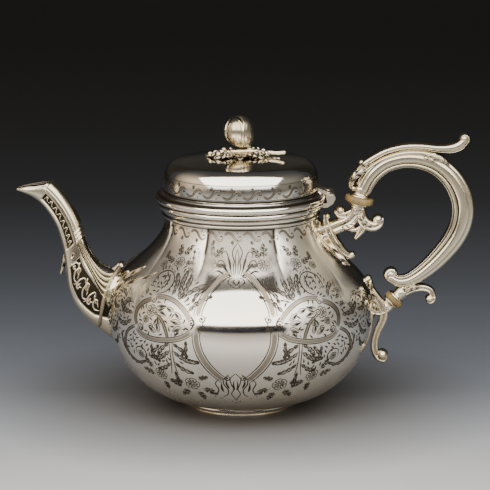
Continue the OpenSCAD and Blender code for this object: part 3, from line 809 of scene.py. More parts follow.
def make_lid():
    outer = resample(dome_outline, 0.7)
    outer[-1, 0] = AXIS
    inner = resample(outer + normals_2d(outer) * WALL, 2)[::-1]
    inner[0, 0] = AXIS
    inner = inner[inner[:, 1] > DOME_Z]
    z = outer[::-1, 1]
    # darker below the shoulder, with a painted shadow line where the dome meets the rim
    skin = (1 - 0.42 * np.clip((131.5 - z) / 1.5, 0, 1)) * np.clip((z - 121.2) / 0.4, 0, 1)
    s = lathe(Solid(), np.vstack([outer[::-1], inner[::-1]]), 400,
              np.r_[skin, np.full(len(inner), 0.6)], closed=False)
    dome = s.make("lid_raised", RAISED, LID, "silver_raised", ["lid_dome"])
    holes = Solid()
    for x, r in ((0, 1.6), (16, 0.9)):
        peg(holes, 2, (130.0, 144.0), (x, 0), r, 24)
    cut(dome, holes, "vent")

    bead = bezier((44.6, 114.5), (47.5, 114.5), (47.5, 118.3), (45.2, 118.4), 20)
    slope = bezier((44.9, 118.8), (44.3, 120.2), (43.2, 120.6), (42.45, DOME_Z), 12)
    lip = np.array([[44.9, 118.45], [44.62, 118.55], [44.7, 118.75]])
    prof = np.vstack([[39.2, 114.5], bead, lip, slope, [39.9, DOME_Z], [39.9, 118.2],
                      [39.2, 118.2]])
    # painted shadow lines: dark under the bead, between the bead and the slope, and where the
    # slope meets the dome; the inside is darker
    tone = np.r_[np.zeros(4), 0.2, np.ones(13), 0.2, np.zeros(8), 0.1, np.ones(6), 0.2,
                 np.zeros(3), 0.3, 0.6, 0.6]
    s = lathe(Solid(), prof, 420, tone)
    rim = s.make("lid_rim_moulded", RAISED, LID, "silver_raised", ["lid_rim"])
    slot = Solid()
    peg(slot, 1, (-9.8, 9.8), HINGE, BARREL_ROOM, 40)
    cut(rim, slot, "barrel_room")


# ---------------------------------------------------------------- the finial

def tube(s, points, r0, r1, knots=0.1, up_hint=(0, 0, 1.0)):
    """A round strand through 3-D points that tapers from r0 to r1, closed at both ends."""
    p = smooth(points, 6)
    n = len(p)
    d = np.gradient(p, axis=0)
    d /= np.linalg.norm(d, axis=1)[:, None]
    side = np.cross(d, up_hint)
    side /= np.linalg.norm(side, axis=1)[:, None] + 1e-9
    up = np.cross(side, d)
    a = np.linspace(0, TAU, 14, endpoint=False)
    rad = np.linspace(r0, r1, n) * (1 + knots * np.sin(np.arange(n) * 1.7))
    rad[[0, -1]] *= 0.55
    p = np.vstack([p[:1] - d[:1] * r0 * 0.35, p[1:-1], p[-1:] + d[-1:] * r1 * 0.35])
    ring = rad[:, None, None] * (side[:, None] * np.cos(a)[None, :, None]
                                 + up[:, None] * np.sin(a)[None, :, None])
    # painted light: the strand is brighter on the side towards up_hint and darker on the other
    tone = np.clip(0.72 + 0.35 * np.sin(a), 0.3, 1)[None, :] * np.ones((n, 1))
    s.grid(p[:, None] + ring, wrap=True, caps=True, tone=tone)


def make_finial():
    rows, cols = 120, 168
    v = np.linspace(0, 1, rows)[:, None]
    phi = np.linspace(0, TAU, cols, endpoint=False)[None, :]
    prof = chain(bezier((1.2, 0), (3.2, 0), (7.0, 5.0), (7.3, 10.4), 30),
                 bezier((7.3, 10.4), (7.4, 15.2), (3.8, 17.8), (0.4, 18.4), 30))
    s = lengths(prof) / lengths(prof)[-1]
    r = np.interp(v[:, 0], s, prof[:, 0])[:, None]
    z = np.interp(v[:, 0], s, prof[:, 1])[:, None]
    h = np.zeros((rows, cols)) - 0.5
    # tone: painted shade in the gaps between the sepals
    tone = np.full((rows, cols), 0.15)
    # sepals that wrap over one another, each with a rolled edge and shallow ribs
    for k in range(4):
        centre = math.radians(-30 + 90 * k) + 1.7 * (v - 0.45)
        a = (phi - centre + math.pi) % TAU - math.pi
        w = 0.98 * np.clip(1 - v ** 3.2, 0.04, 1) ** 0.5 * (0.66 + 0.34 * np.sin(np.pi * v))
        b = a / w
        body = np.clip((1 - np.abs(b)) / 0.11, 0, 1) ** 0.7
        rolled = np.exp(-((np.abs(b) - 0.86) / 0.08) ** 2)
        ribs = np.exp(-((b - 0.25) / 0.05) ** 2) + np.exp(-((b + 0.3) / 0.05) ** 2)
        new = -0.5 + body * (0.75 + 0.35 * (k % 2) + 0.40 * (1 - b * b) + 0.30 * rolled
                             - 0.05 * ribs)
        # painted shade at each sepal's edge and in a line just inside it, and a painted
        # highlight on the rolled edge
        shade = np.clip(body * 1.3 - 0.3, 0, 1) * (0.62 - 0.16 * ribs + 0.38 * rolled) \
            * (1 - 0.6 * np.exp(-((np.abs(b) - 0.70) / 0.05) ** 2))
        tone = np.where(new > h, shade, tone)
        h = np.maximum(h, new)
    h *= np.clip(np.sin(np.pi * np.clip(v, 0.03, 0.97)) * 1.8, 0, 1)
    r = np.maximum(r + h, 0.25)
    g = np.stack([r * np.sin(phi), -r * np.cos(phi), z + 0 * phi], -1)
    bud = Solid()
    bud.grid(at_joint((3.2, 0, 143.9), -26)(g), wrap=True, caps=True,
             tone=np.clip(tone, 0.05, 1))
    bud.make("bud_cast", CAST, LID, "silver_cast", ["finial_bud"])

    s = Solid()
    # boss on the lid, and the stem's knuckle under the bud
    foot = np.array([(0.02, 139.4), (5.9, 139.4), (6.5, 139.9), (6.0, 140.5), (4.6, 140.8),
                     (4.0, 141.3), (0.02, 141.6)])
    foot = smooth(foot, 3)
    a = np.linspace(0, TAU, 60, endpoint=False)[None, :]
    lobes = 1 + 0.07 * np.cos(9 * a) * (foot[:, 0:1] > 4.4)
    s.grid(np.stack([foot[:, 0:1] * lobes * np.cos(a) * 1.15, foot[:, 0:1] * lobes * np.sin(a),
                     foot[:, 1:2] + 0 * a], -1), wrap=True, caps=True)
    tube(s, [(1.5, 0, 140.6), (3.6, 0.2, 142), (4.0, 0, 143.6), (3.0, 0, 145.2)], 2.5, 1.7,
         knots=0.06, up_hint=(0, 1.0, 0))
    s.ball((4.6, -1.3, 142.6), 1.9, (1.1, 1, 0.9), tone=0.95)
    # twig lying across the lid, forked, with cut ends
    tube(s, [(-9, 0.5, 141.2), (-3, -2.6, 141.9), (3, -2.8, 142.1), (8, -2.2, 142.0),
             (14, -2.4, 141.6), (20, -3.0, 141.3), (24.4, -3.2, 141.7)], 1.25, 1.15)
    tube(s, [(9, -2.2, 141.6), (14, 0.6, 141.0), (19, 3.4, 140.6), (22, 4.6, 140.7)], 1.0, 0.8)
    tube(s, [(-7, 0, 141.3), (-12, -2.5, 140.9), (-17.4, -4.6, 141.5)], 1.0, 0.8)
    tube(s, [(1, 3, 141), (4, 9, 140.4), (9, 13, 140.6)], 0.9, 0.7)
    tube(s, [(0, -2, 141.2), (-3, -7, 140.6), (-8, -11, 140.8)], 0.9, 0.7)

    def lay(x, y, turn, l, w, z0=140.4, rise=1.0, cup=0.7, lobes=4, drop=0.9):
        a = math.radians(turn)
        t = np.linspace(0, 1, 5)
        spine = np.stack([x + l * t * math.cos(a), y + l * t * math.sin(a),
                          z0 + rise * np.sin(np.pi * t) - drop * t * t], 1)
        leaf(s, spine, [(0, 0, 1)] * 5, w, lobes=lobes, crown=0.8, thick=0.8, vein=0.6,
             cup=cup)
    for x, y, turn, l, w in ((-4, -1, 186, 15.5, 4.6), (-3, -3, 216, 14, 4.0),
                             (-3, 3, 152, 14, 4.2), (1, -4, 262, 11, 3.6),
                             (3, -4, 322, 12, 3.8), (3, 3, 35, 14, 4.2),
                             (1, 4, 92, 12, 4.0), (-1, 4, 122, 12, 3.6)):
        lay(x, y, turn, l, w)
    lay(-8, -4.6, 200, 9.0, 2.8, 141.6, 0.9)
    lay(-6, -6.4, 240, 8.0, 2.4, 141.3, 0.8)
    lay(8, -4.4, 340, 8.0, 2.6, 141.5, 1.0)
    for x, y, z, r in ((-10.5, -5.2, 142.0, 1.9), (-7.0, -6.4, 142.0, 1.6),
                       (-13.8, -4.4, 141.8, 1.7), (-9.4, -2.0, 142.8, 1.6),
                       (-16.8, -5.0, 141.2, 1.5), (-12.2, -7.6, 141.2, 1.5),
                       (10.6, -5.4, 141.7, 1.9), (13.6, -5.6, 141.4, 1.6),
                       (12.2, -3.0, 142.4, 1.6), (8.2, -6.6, 141.4, 1.5),
                       (6.5, 7.5, 141.6, 1.5), (9.2, 8.4, 141.4, 1.4),
                       (-5.4, 8.2, 141.4, 1.4), (-8.0, 7.0, 141.4, 1.3)):
        s.ball((x, y, z), r, tone=0.95, n=10)
    s.make("foliage_cast", CAST, LID, "silver_cast", ["finial_foliage"])


# ---------------------------------------------------------------- the spout

spout_stations = np.array([
    [-66, 33, -52, 71, 13.4], [-80.8, 44.5, -68.8, 75.6, 12.4],
    [-87.1, 50.4, -74.5, 77.5, 11.4], [-92.1, 57.4, -78.3, 80, 10.3],
    [-95.3, 65.8, -81.6, 84, 9.2], [-96.8, 75.5, -84.4, 89.2, 8.2],
    [-97.5, 84, -86.4, 95.5, 7.4], [-98.7, 91, -88.3, 101.9, 6.9],
    [-101.2, 99.6, -91.4, 108.4, 6.5], [-105, 106.8, -95.8, 115.6, 6.2],
    [-109.4, 112.6, -101, 122, 6.0], [-112.6, 115.4, -105.4, 125.3, 5.9],
    [-116.2, 117.6, -111.2, 124.2, 5.4], [-120, 119.1, -116.8, 123.2, 4.2],
    [-123.3, 120.2, -122.2, 121.9, 2.0]])
SPOUT_STEPS = 16
SPOUT = smooth(spout_stations, SPOUT_STEPS)
OPEN_AT = 10.75


def spout_at(k, t, inset=0.0):
    """Point of the spout at station k (may be fractional) and angle t in radians, 0 at
    the lower edge and pi at the upper edge, for the side towards +Y."""
    i = np.clip(np.asarray(k, float) * SPOUT_STEPS, 0, len(SPOUT) - 1)
    idx = np.arange(len(SPOUT))
    s = [np.interp(i, idx, SPOUT[:, c]) for c in range(5)]
    dx, dz = s[2] - s[0], s[3] - s[1]
    size = np.hypot(dx, dz)
    dx, dz = dx / size, dz / size
    u, v = -np.cos(t), np.sin(t)
    along = (size / 2 - inset) * np.sign(u) * np.abs(u) ** 0.82
    across = (s[4] - inset) * np.abs(v) ** 0.66
    return np.stack([(s[0] + s[2]) / 2 + dx * along, across,
                     (s[1] + s[3]) / 2 + dz * along], -1)


def spout_relief(k, t):
    """Height of the casting above the plain tube, and its tone, at station k."""
    f = 0.5 - 0.5 * np.cos(t)
    k = np.asarray(k, float) + 0 * f
    stations = [0.6, 1.2, 3, 4, 4.9, 6, 10.5]
    lo = np.interp(k, stations, [0.30, 0.19, 0.14, 0.15, 0.22, 0.20, 0.18])
    hi = np.interp(k, stations, [0.42, 0.60, 0.68, 0.66, 0.64, 0.54, 0.52])
    across = ease(f, lo, lo + 0.035) * ease(f, hi, hi - 0.035)
    panel = across * (ease(k, 0.6, 0.75) * ease(k, 4.95, 4.85)
                      + ease(k, 6.15, 6.25) * ease(k, 10.5, 10.4))
    hood = ease(f, 0.70, 0.73) * ease(k, 6.9, 7.0) * ease(k, 10.8, 10.7)
    rings = sum(np.exp(-((k - c) / 0.085) ** 2) for c in (6.05, 6.38, 6.71)) \
        * ease(f, 0.60, 0.68)
    roll = np.exp(-((f - lo + 0.05) / 0.03) ** 2) * ease(k, 0.8, 1.3) * ease(k, 10.8, 10.2)
    groove = np.exp(-((f - 0.685) / 0.014) ** 2) * ease(k, 5.4, 6.2) * ease(k, 11.6, 11)
    # the hole is not cut: it is a shallow dip with painted shade in it
    hole = np.exp(-((k - 5.5) / 0.085) ** 4 - ((f - 0.42) / 0.045) ** 4)
    h = -1.25 * panel + 0.75 * hood + 0.65 * rings + 0.22 * roll - 0.3 * groove - 0.8 * hole
    hatch = hood * ease(f, 0.80, 0.84) * (0.5 + 0.5 * np.cos(26 * k)) * 0.35
    tone = 1 - 0.97 * panel - 0.75 * groove - 0.97 * hole - hatch \
        - 0.5 * rings * (0.5 + 0.5 * np.cos(TAU * (k - 6.05) / 0.33 + math.pi))
    return h, np.clip(tone, 0.0, 1)


def make_spout():
    """Both halves: an open channel, cut away above from OPEN_AT to the lip."""
    halves = []
    k = np.linspace(0, len(spout_stations) - 1, 330)
    n_out, n_in = 84, 26
    for side, name in ((-1, "left"), (1, "right")):
        rings, tones = [], []
        for kk in k:
            size = np.hypot(*(SPOUT[int(kk * SPOUT_STEPS), 2:4]
                              - SPOUT[int(kk * SPOUT_STEPS), 0:2]))
            top = math.radians(180 if kk <= OPEN_AT
                               else max(116, 180 - 130 * (kk - OPEN_AT)))
            w = min(0.16 * size, 0.7) if kk > OPEN_AT + 0.6 else min(1.4, 0.2 * size)
            t = np.linspace(0, top, n_out)
            p = spout_at(kk, t)
            q = spout_at(kk, t, 0.5)
            d = p - q
            d /= np.linalg.norm(d, axis=1)[:, None] + 1e-9
            h, tone = spout_relief(kk, t)
            fade = np.clip(np.minimum(t, top - t) / 0.12, 0, 1) if kk <= OPEN_AT else \
                np.clip(t / 0.12, 0, 1)
            outer = p + d * (h * fade)[:, None]
            outer[:, 1] = np.maximum(outer[:, 1], 0.0)
            outer[0, 1] = 0.0
            if kk <= OPEN_AT:
                outer[-1, 1] = 0.0
            ti = np.linspace(top, 0, n_in)
            inner = spout_at(kk, ti, w)
            inner[-1, 1] = 0.0
            if kk <= OPEN_AT:
                inner[0, 1] = 0.0
            ring = np.vstack([outer, inner])
            ring[:, 1] = side * np.maximum(ring[:, 1], 0.012)
            rings.append(ring)
            tones.append(np.r_[tone, np.full(n_in, 0.12)])
        s = Solid()
        s.grid(np.array(rings), wrap=True, caps=True, tone=np.array(tones))
        halves.append(s.make("spout_" + name, CAST, POT, "silver_cast",
                             ["spout_" + name + "_half"]))
    return halves


class Flank:
    """The side of the spout as a chart: x runs along it in stations and y from the lower
    edge (0) to the upper edge (1)."""

    def __init__(self, side):
        self.side = side

    def at(self, pts, h):
        k, f = pts[:, 0], np.clip(pts[:, 1], 0.002, 0.998)
        t = np.arccos(1 - 2 * f)
        p = spout_at(k, t)
        d = p - spout_at(k, t, 0.5)
        d /= np.linalg.norm(d, axis=1)[:, None] + 1e-9
        r, _ = spout_relief(k, t)
        p = p + d * (r + h)[:, None]
        p[:, 1] *= self.side
        return p


def strand_on(solid, chart, pts, width, height, steps=5):
    """A raised rounded strand laid on a chart; pts are chart points, width a half width
    in millimetres."""
    p = smooth(np.array(pts, float), steps)
    base = chart.at(p, np.zeros(len(p)))
    over = chart.at(p, np.ones(len(p)))
    up = over - base
    up /= np.linalg.norm(up, axis=1)[:, None]
    d = np.gradient(base, axis=0)
    d /= np.linalg.norm(d, axis=1)[:, None] + 1e-9
    side = np.cross(d, up)
    t = np.linspace(0, 1, len(p))
    w = width * (0.25 + 0.75 * np.sin(np.pi * np.clip(t, 0.04, 0.96)) ** 0.6)
    a = np.linspace(0, math.pi, 7)
    prof = np.stack([-np.cos(a), np.sin(a)], 1)
    prof = np.vstack([prof, [0.6, -0.5], [-0.6, -0.5]])
    g = base[:, None] + side[:, None] * (w[:, None] * prof[None, :, 0])[..., None] \
        + up[:, None] * (w[:, None] * height * prof[None, :, 1])[..., None]
    # painted light: a painted highlight along the strand's crest, darker down its sides and
    # painted shade at its foot
    tone = np.tile([0.4, 0.8, 1, 1, 1, 0.8, 0.4, 0.1, 0.1], (len(p), 1))
    solid.grid(g, wrap=True, caps=True, tone=tone)


def make_spout_chasing():
    s = Solid()
    for side in (-1, 1):
        c = Flank(side)
        # lower panel: a run of leafy C scrolls that grows towards the root
        for k, f, w, flip in ((1.5, 0.38, 0.10, 1), (2.1, 0.40, 0.14, -1),
                              (2.8, 0.42, 0.16, 1), (3.5, 0.41, 0.16, -1),
                              (4.2, 0.42, 0.15, 1), (4.7, 0.45, 0.10, -1)):
            strand_on(s, c, [(k - 0.42, f - 0.6 * w * flip), (k - 0.12, f - 0.85 * w * flip),
                             (k + 0.18, f - 0.2 * w * flip), (k + 0.12, f + 0.7 * w * flip),
                             (k - 0.10, f + 0.75 * w * flip), (k - 0.12, f + 0.2 * w * flip)],
                      0.62, 1.1)
            for a, b in ((-0.30, -0.2), (-0.02, 0.1), (0.2, 0.45)):
                strand_on(s, c, [(k + a, f + b * w), (k + a + 0.07, f + (b + 0.4) * w * flip),
                                 (k + a + 0.2, f + (b + 0.7) * w * flip)], 0.42, 1.1)
        # upper panel: S scrolls one above another
        for k in np.arange(6.5, 10.3, 0.50):
            f, w = 0.375, 0.085
            strand_on(s, c, [(k - 0.22, f - w), (k - 0.10, f - 0.3 * w), (k - 0.02, f + w),
                             (k + 0.12, f + 0.5 * w), (k + 0.06, f - 0.5 * w)], 0.36, 1.1)
            strand_on(s, c, [(k + 0.12, f - 0.9 * w), (k + 0.2, f - 0.6 * w)], 0.3, 1.1)
        # leaf lip of the beak
        strand_on(s, c, [(10.7, 0.80), (11.0, 0.76), (11.6, 0.74), (12.4, 0.74),
                         (13.4, 0.72)], 0.55, 0.9)
        strand_on(s, c, [(10.5, 0.56), (11.0, 0.62), (11.5, 0.60), (12.2, 0.52)], 0.4, 0.9)
    s.make("spout_chasing", CAST, POT, "silver_cast", ["spout_crest"])


# rays of the fluted leaf on the spout's root, as (x, z, y), from its upper edge down
FAN = [
    [(-88.2, 94.4, 0.5), (-84.4, 86.6, 1.3), (-80.4, 80.0, 2.1), (-76.6, 76.2, 2.8),
     (-73.0, 74.6, 3.0), (-69.6, 75.2, 2.8), (-66.6, 78.0, 2.2)],
    [(-88.8, 93.8, 3.8), (-84.8, 85.4, 5.0), (-80.8, 78.2, 6.2), (-77.2, 73.6, 7.0),
     (-74.0, 71.6, 7.2), (-71.2, 72.0, 6.8), (-69.0, 74.4, 6.0)],
    [(-89.2, 93.2, 5.8), (-85.8, 84.6, 7.2), (-82.0, 77.2, 8.6), (-78.6, 71.6, 9.6),
     (-75.8, 68.4, 10.0), (-73.6, 67.4, 9.8), (-72.0, 68.8, 9.4)],
    [(-89.6, 92.6, 6.6), (-86.8, 84.8, 8.4), (-83.6, 78.0, 9.8), (-80.4, 71.8, 11.0),
     (-77.8, 66.8, 11.8), (-75.8, 63.6, 12.2), (-74.6, 62.4, 12.4)]]


def make_spout_leaves():
    s = Solid()
    rays = np.array([smooth(r, 7) for r in FAN])
    skin = spout_at(np.linspace(0.2, 9.5, 150)[:, None],
                    np.linspace(0.05, 3.1, 80)[None, :]).reshape(-1, 3)

    def clear(points, side, gap=1.0):
        """Moves points out along Y until they stand off the spout's surface."""
        flat = np.array(points, float).reshape(-1, 3)
        for q in flat:
            d = (skin[:, 0] - q[0]) ** 2 + (skin[:, 2] - q[2]) ** 2
            i = int(d.argmin())
            if d[i] < 4:
                q[1] = side * max(abs(q[1]), skin[i, 1] + gap)
        return flat.reshape(np.shape(points))
    for side in (-1, 1):
        m = rays.shape[1]
        g = np.stack([smooth(rays[:, i], 22) for i in range(m)])
        g = clear(np.stack([g[..., 0], side * g[..., 2], g[..., 1]], -1), side)
        for _ in range(6):
            g[1:-1, :, 1] = (g[:-2, :, 1] + g[1:-1, :, 1] + g[2:, :, 1]) / 3
            g[:, 1:-1, 1] = (g[:, :-2, 1] + g[:, 1:-1, 1] + g[:, 2:, 1]) / 3
        du, dv = np.gradient(g, axis=0), np.gradient(g, axis=1)
        n = np.cross(du, dv)
        n /= np.linalg.norm(n, axis=-1)[..., None] + 1e-9
        n *= np.sign(n[..., 1:2] * side)
        j = np.linspace(0, 1, g.shape[1])[None, :]
        t = np.linspace(0, 1, m)[:, None]
        flute = np.cos(TAU * 4 * j)
        h = (0.25 + 0.75 * t) * 0.8 * flute + 0.5 * np.exp(-((t - 0.97) / 0.04) ** 2)
        tone = np.clip(0.62 + 0.5 * flute, 0.08, 1) + 0 * t
        top = g + n * h[..., None]
        low = g + n * (h - 1.1)[..., None]
        # darker in the flutes' hollows; the underside gets 0.3 of the tone as painted shade
        s.grid(np.concatenate([top, low[:, ::-1]], 1), wrap=True, caps=True,
               tone=np.concatenate([tone, 0.3 * tone[:, ::-1]], 1))
        # rolled rim down to the point of the root
        tube(s, clear([(-66.4, side * 2.2, 78.0), (-69.4, side * 6.2, 74.4),
                       (-72.6, side * 9.8, 69.2), (-75.0, side * 12.4, 62.2),
                       (-76.4, side * 13.2, 55.6), (-77.4, side * 12.0, 49.6),
                       (-78.2, side * 9.6, 45.4)], side, 0.5),
             1.2, 0.9, knots=0, up_hint=(0, 1.0, 0))
        for x, y, z, r in ((-66.0, 2.6, 78.4, 1.4), (-69.0, 6.4, 75.0, 1.1)):
            s.ball((x, side * y, z), r, tone=0.95)
        # leaves that lie on the body beside the root
        for pts, w, crown in (
                ([(-83, 64), (-76, 69), (-68, 73.6), (-60, 77.6), (-52, 81.6)], 2.5, 1.1),
                ([(-82, 70), (-76, 75), (-70, 79.4), (-66, 82.4)], 1.7, 1.1),
                ([(-84, 58), (-78, 60.4), (-73, 63.6), (-70, 67.4)], 1.7, 1.0),
                ([(-85, 50), (-80, 51), (-76, 54), (-74.4, 57.4)], 1.4, 1.0)):
            body_leaf(s, pts, w, lobes=4, crown=crown, mirror=side > 0)
    tube(s, [(-88.4, 0, 94.6), (-84.4, 0, 86.6), (-80.4, 0, 80.0), (-76.6, 0, 76.2),
             (-73.0, 0, 74.6), (-69.6, 0, 75.4), (-66.2, 0, 78.4)], 1.5, 2.0, knots=0,
         up_hint=(0, 1.0, 0))
    s.ball((-65.8, 0, 78.8), 1.6, (1, 1.9, 1))
    s.make("spout_crest_cast", CAST, POT, "silver_cast", ["spout_crest"])

    s = Solid()
    leaf(s, [(-95.4, 0, 88.4), (-97.6, 0, 84.0), (-98.6, 0, 78.8), (-99.8, 0, 73.4)],
         [(-1, 0, 0.2)] * 4, 2.4, lobes=3, crown=0.4, thick=1.5, vein=0.4)
    sweep(s, [(-95.6, 88, 0.9, 1.5), (-97.2, 83.5, 1.1, 1.7), (-98.2, 78.5, 1.0, 1.5),
              (-99.4, 73.4, 0.7, 1.0)], ROUND, 5)
    s.make("spout_spur_cast", CAST, POT, "silver_cast", ["spout_spur"])


def body_leaf(s, points, w, lobes=4, crown=1.3, mirror=False):
    """A leaf lying on the body through points of (degrees from the front, height). The
    mirrored leaf lies on the far side."""
    p = smooth(np.array(points, float), 2)
    th = np.radians(180 - p[:, 0] if mirror else p[:, 0])
    sv = np.interp(p[:, 1], BODY.z, BODY.s)
    p0 = BODY.at(th, sv, np.full(len(p), -0.1))
    p1 = BODY.at(th, sv, np.full(len(p), 0.9))
    leaf(s, p0, p1 - p0, w, lobes=lobes, crown=crown, thick=0.6, vein=0.5)


# ---------------------------------------------------------------- the handle

grip_path = [
    (67.5, 120.5, 4.0, 4.4), (69.6, 125.2, 4.3, 4.6), (73.2, 130.2, 4.6, 4.9),
    (79.6, 135.2, 4.9, 5.2), (88.6, 137.8, 5.1, 5.5), (98.2, 137.4, 5.3, 5.6),
    (107.4, 134.0, 5.6, 5.7), (115.2, 127.2, 5.9, 5.8), (120.2, 118.4, 6.1, 5.8),
    (121.9, 110.0, 6.1, 5.8), (120.8, 101.4, 6.0, 5.7), (117.4, 93.6, 5.7, 5.5),
    (112.4, 86.6, 5.3, 5.2), (106.0, 79.6, 4.8, 4.9), (99.0, 73.6, 4.2, 4.5),
    (92.4, 69.8, 3.6, 4.2), (86.8, 69.2, 3.2, 3.8), (82.6, 71.2, 2.8, 3.4)]
GRIP = rods([(0.52, 0.48, 0.86), (0.06, 0.60, 1.0), (-0.64, 0.24, 0.86), (-0.90, 0.11, 0.58)],
            72, 3.0)
CAP = rods([(0.10, 0.90, 1.0), (-0.82, 0.18, 0.80)], 40, 2.6)
# insulated joints: centre, lean towards +X in degrees, disc's radius and thickness, and the
# radius of the cups
UPPER = ((64.9, 0, 114.6), 12, 7.8, 3.3, 4.2)
LOWER = ((84.5, 0, 58.4), 45, 5.7, 3.0, 3.6)


def cup(s, joint, side):
    """Moulded cup that holds the disc's tenon, above (1) or below (-1) it."""
    centre, tilt, disc_r, disc_h, r = joint
    z0 = disc_h / 2 + 0.03
    prof = np.array([(0.02, z0), (r + 1.2, z0), (r + 1.5, z0 + 0.5), (r + 1.1, z0 + 1.1),
                     (r + 0.2, z0 + 1.5), (r - 0.1, z0 + 2.6), (r + 0.1, z0 + 4.0),
                     (r - 0.2, z0 + 5.6), (r - 1.0, z0 + 6.5), (0.02, z0 + 6.5)])
    prof = smooth(prof[1:-1], 3)
    prof = np.vstack([[0.02, z0], prof, [0.02, z0 + 6.5]])
    prof[:, 1] *= side
    tone = np.clip(0.25 + (prof[:, 0] - r + 0.9) / 1.6, 0.25, 1)
    lathe(s, prof, 48, tone, at_joint(centre, tilt), closed=False)


def make_handle():
    s = Solid()
    sweep(s, grip_path, GRIP, 8)
    volute(s, 83.2, 73.0, 3.0, 215, -1.0, 2.0, 3.6)
    s.ball((82.3, 0, 73.2), 2.7, (1, 1.35, 1))
    # leg from the C's underside to the lower cup
    sweep(s, [(97.5, 72.2, 2.6, 3.0), (93.4, 67.6, 2.7, 3.1), (90.0, 64.0, 2.9, 3.3),
              (88.2, 62.1, 3.2, 3.4)], TWO_ROLL, 6)
    cup(s, UPPER, 1)
    cup(s, LOWER, 1)
    # leaf lobe that ends the inner bead near the thumb scroll
    for x0, z0, x1, z1, w in ((100, 140.8, 112.8, 135.4, 2.0),
                              (99.0, 139.0, 109.0, 133.9, 1.6),
                              (106, 139.0, 114.0, 134.2, 1.5)):
        leaf_pair(s, [(x0, 5.1, z0), ((x0 + x1) / 2, 5.1 * 1.06, (z0 + z1) / 2 + 1.2),
                      (x1, 5.1 * 0.98, z1)], (0, 1, 0.2), w, lobes=4, crown=0.8,
                  thick=0.9, vein=0.5)
    s.make("handle_c_scroll", CAST, POT, "silver_cast", ["handle_grip"])

    s = Solid()
    sweep(s, [(63.0, 130.4, 1.2, 3.0), (65.4, 132.8, 1.9, 4.0), (69.4, 136.2, 2.2, 4.6),
              (78.6, 141.6, 2.2, 5.0), (88.4, 144.4, 2.1, 5.2), (98.2, 144.8, 2.0, 5.2),
              (107.2, 143.8, 2.2, 5.1), (114.4, 143.7, 2.7, 4.9), (119.2, 145.2, 2.9, 4.6),
              (122.0, 147.9, 2.4, 4.2)], CAP, 8)
    s.ball((121.8, 0, 149.0), 3.1, (1, 1.45, 1))
    volute(s, 121.6, 149.0, 3.0, -40, 0.9, 0.9, 4.7)
    # rounded bead under the cap strip, ending in a lobed leaf
    sweep(s, [(66.8, 130.4, 0.8, 4.3), (71.8, 134.6, 1.2, 5.2), (79.2, 138.9, 1.5, 5.8),
              (88.6, 141.5, 1.6, 6.1), (97.8, 141.7, 1.6, 6.1), (105.6, 140.2, 1.6, 6.0),
              (110.6, 138.0, 1.3, 5.4)], ROUND, 8)
    # snake-head leaf at the start of the C, with its curls
    sweep(s, [(69.0, 134.6, 1.4, 3.6), (65.6, 132.2, 1.9, 4.2), (62.9, 129.4, 2.1, 4.4),
              (60.9, 126.2, 2.1, 4.2), (60.2, 122.9, 1.6, 3.6), (61.4, 120.8, 1.1, 3.0)],
          TWO_ROLL, 6)
    leaf_pair(s, [(68.6, 3.9, 131.5), (64.6, 4.6, 130.6), (61.4, 4.6, 127.6),
                  (59.9, 3.4, 123.4)], (-0.2, 1, 0.2), 2.0, lobes=3, crown=0.9, thick=1.3,
              vein=0.5)
    leaf_pair(s, [(70.6, 4.4, 134.6), (67.4, 4.6, 135.2), (65.2, 3.9, 133.4)],
              (-0.2, 1, 0.5), 1.3, lobes=2, crown=0.7, thick=1.0, vein=0.4)
    for y in (-1, 1):
        s.ball((61.6, 3.6 * y, 121.6), 1.2, tone=0.95)
    sweep(s, [(67.6, 119.4, 1.8, 3.8), (65.4, 122.6, 1.7, 3.8), (65.0, 125.8, 1.3, 3.4),
              (66.6, 128.4, 1.0, 3.0)], TWO_ROLL, 5)
    s.ball((66.0, 0, 135.6), 1.8, (1, 1.5, 1))
    s.ball((64.2, 0, 124.2), 1.5, (1, 2.2, 1), tone=0.6)
    s.make("handle_cap_leaf", CAST, POT, "silver_cast", ["handle_cap"])

    s = Solid()
    sweep(s, [(89.6, 61.6, 1.8, 2.8), (94.4, 64.4, 2.2, 3.2), (100.0, 65.4, 2.3, 3.2),
              (104.6, 63.8, 2.1, 3.0), (106.4, 60.4, 1.7, 2.8)], TWO_ROLL, 8)
    s.ball((104.3, 0, 58.9), 2.7, (1, 1.35, 1))
    volute(s, 104.2, 59.0, 2.9, 20, -0.8, 1.0, 2.9)
    leaf_pair(s, [(90.0, 2.8, 63.4), (94.6, 3.4, 66.0), (99.6, 3.0, 66.6)],
              (-0.4, 1, 0.5), 1.7, lobes=3, crown=0.7, thick=0.9, vein=0.4)
    s.make("handle_spur_scroll", CAST, POT, "silver_cast", ["handle_spur"])


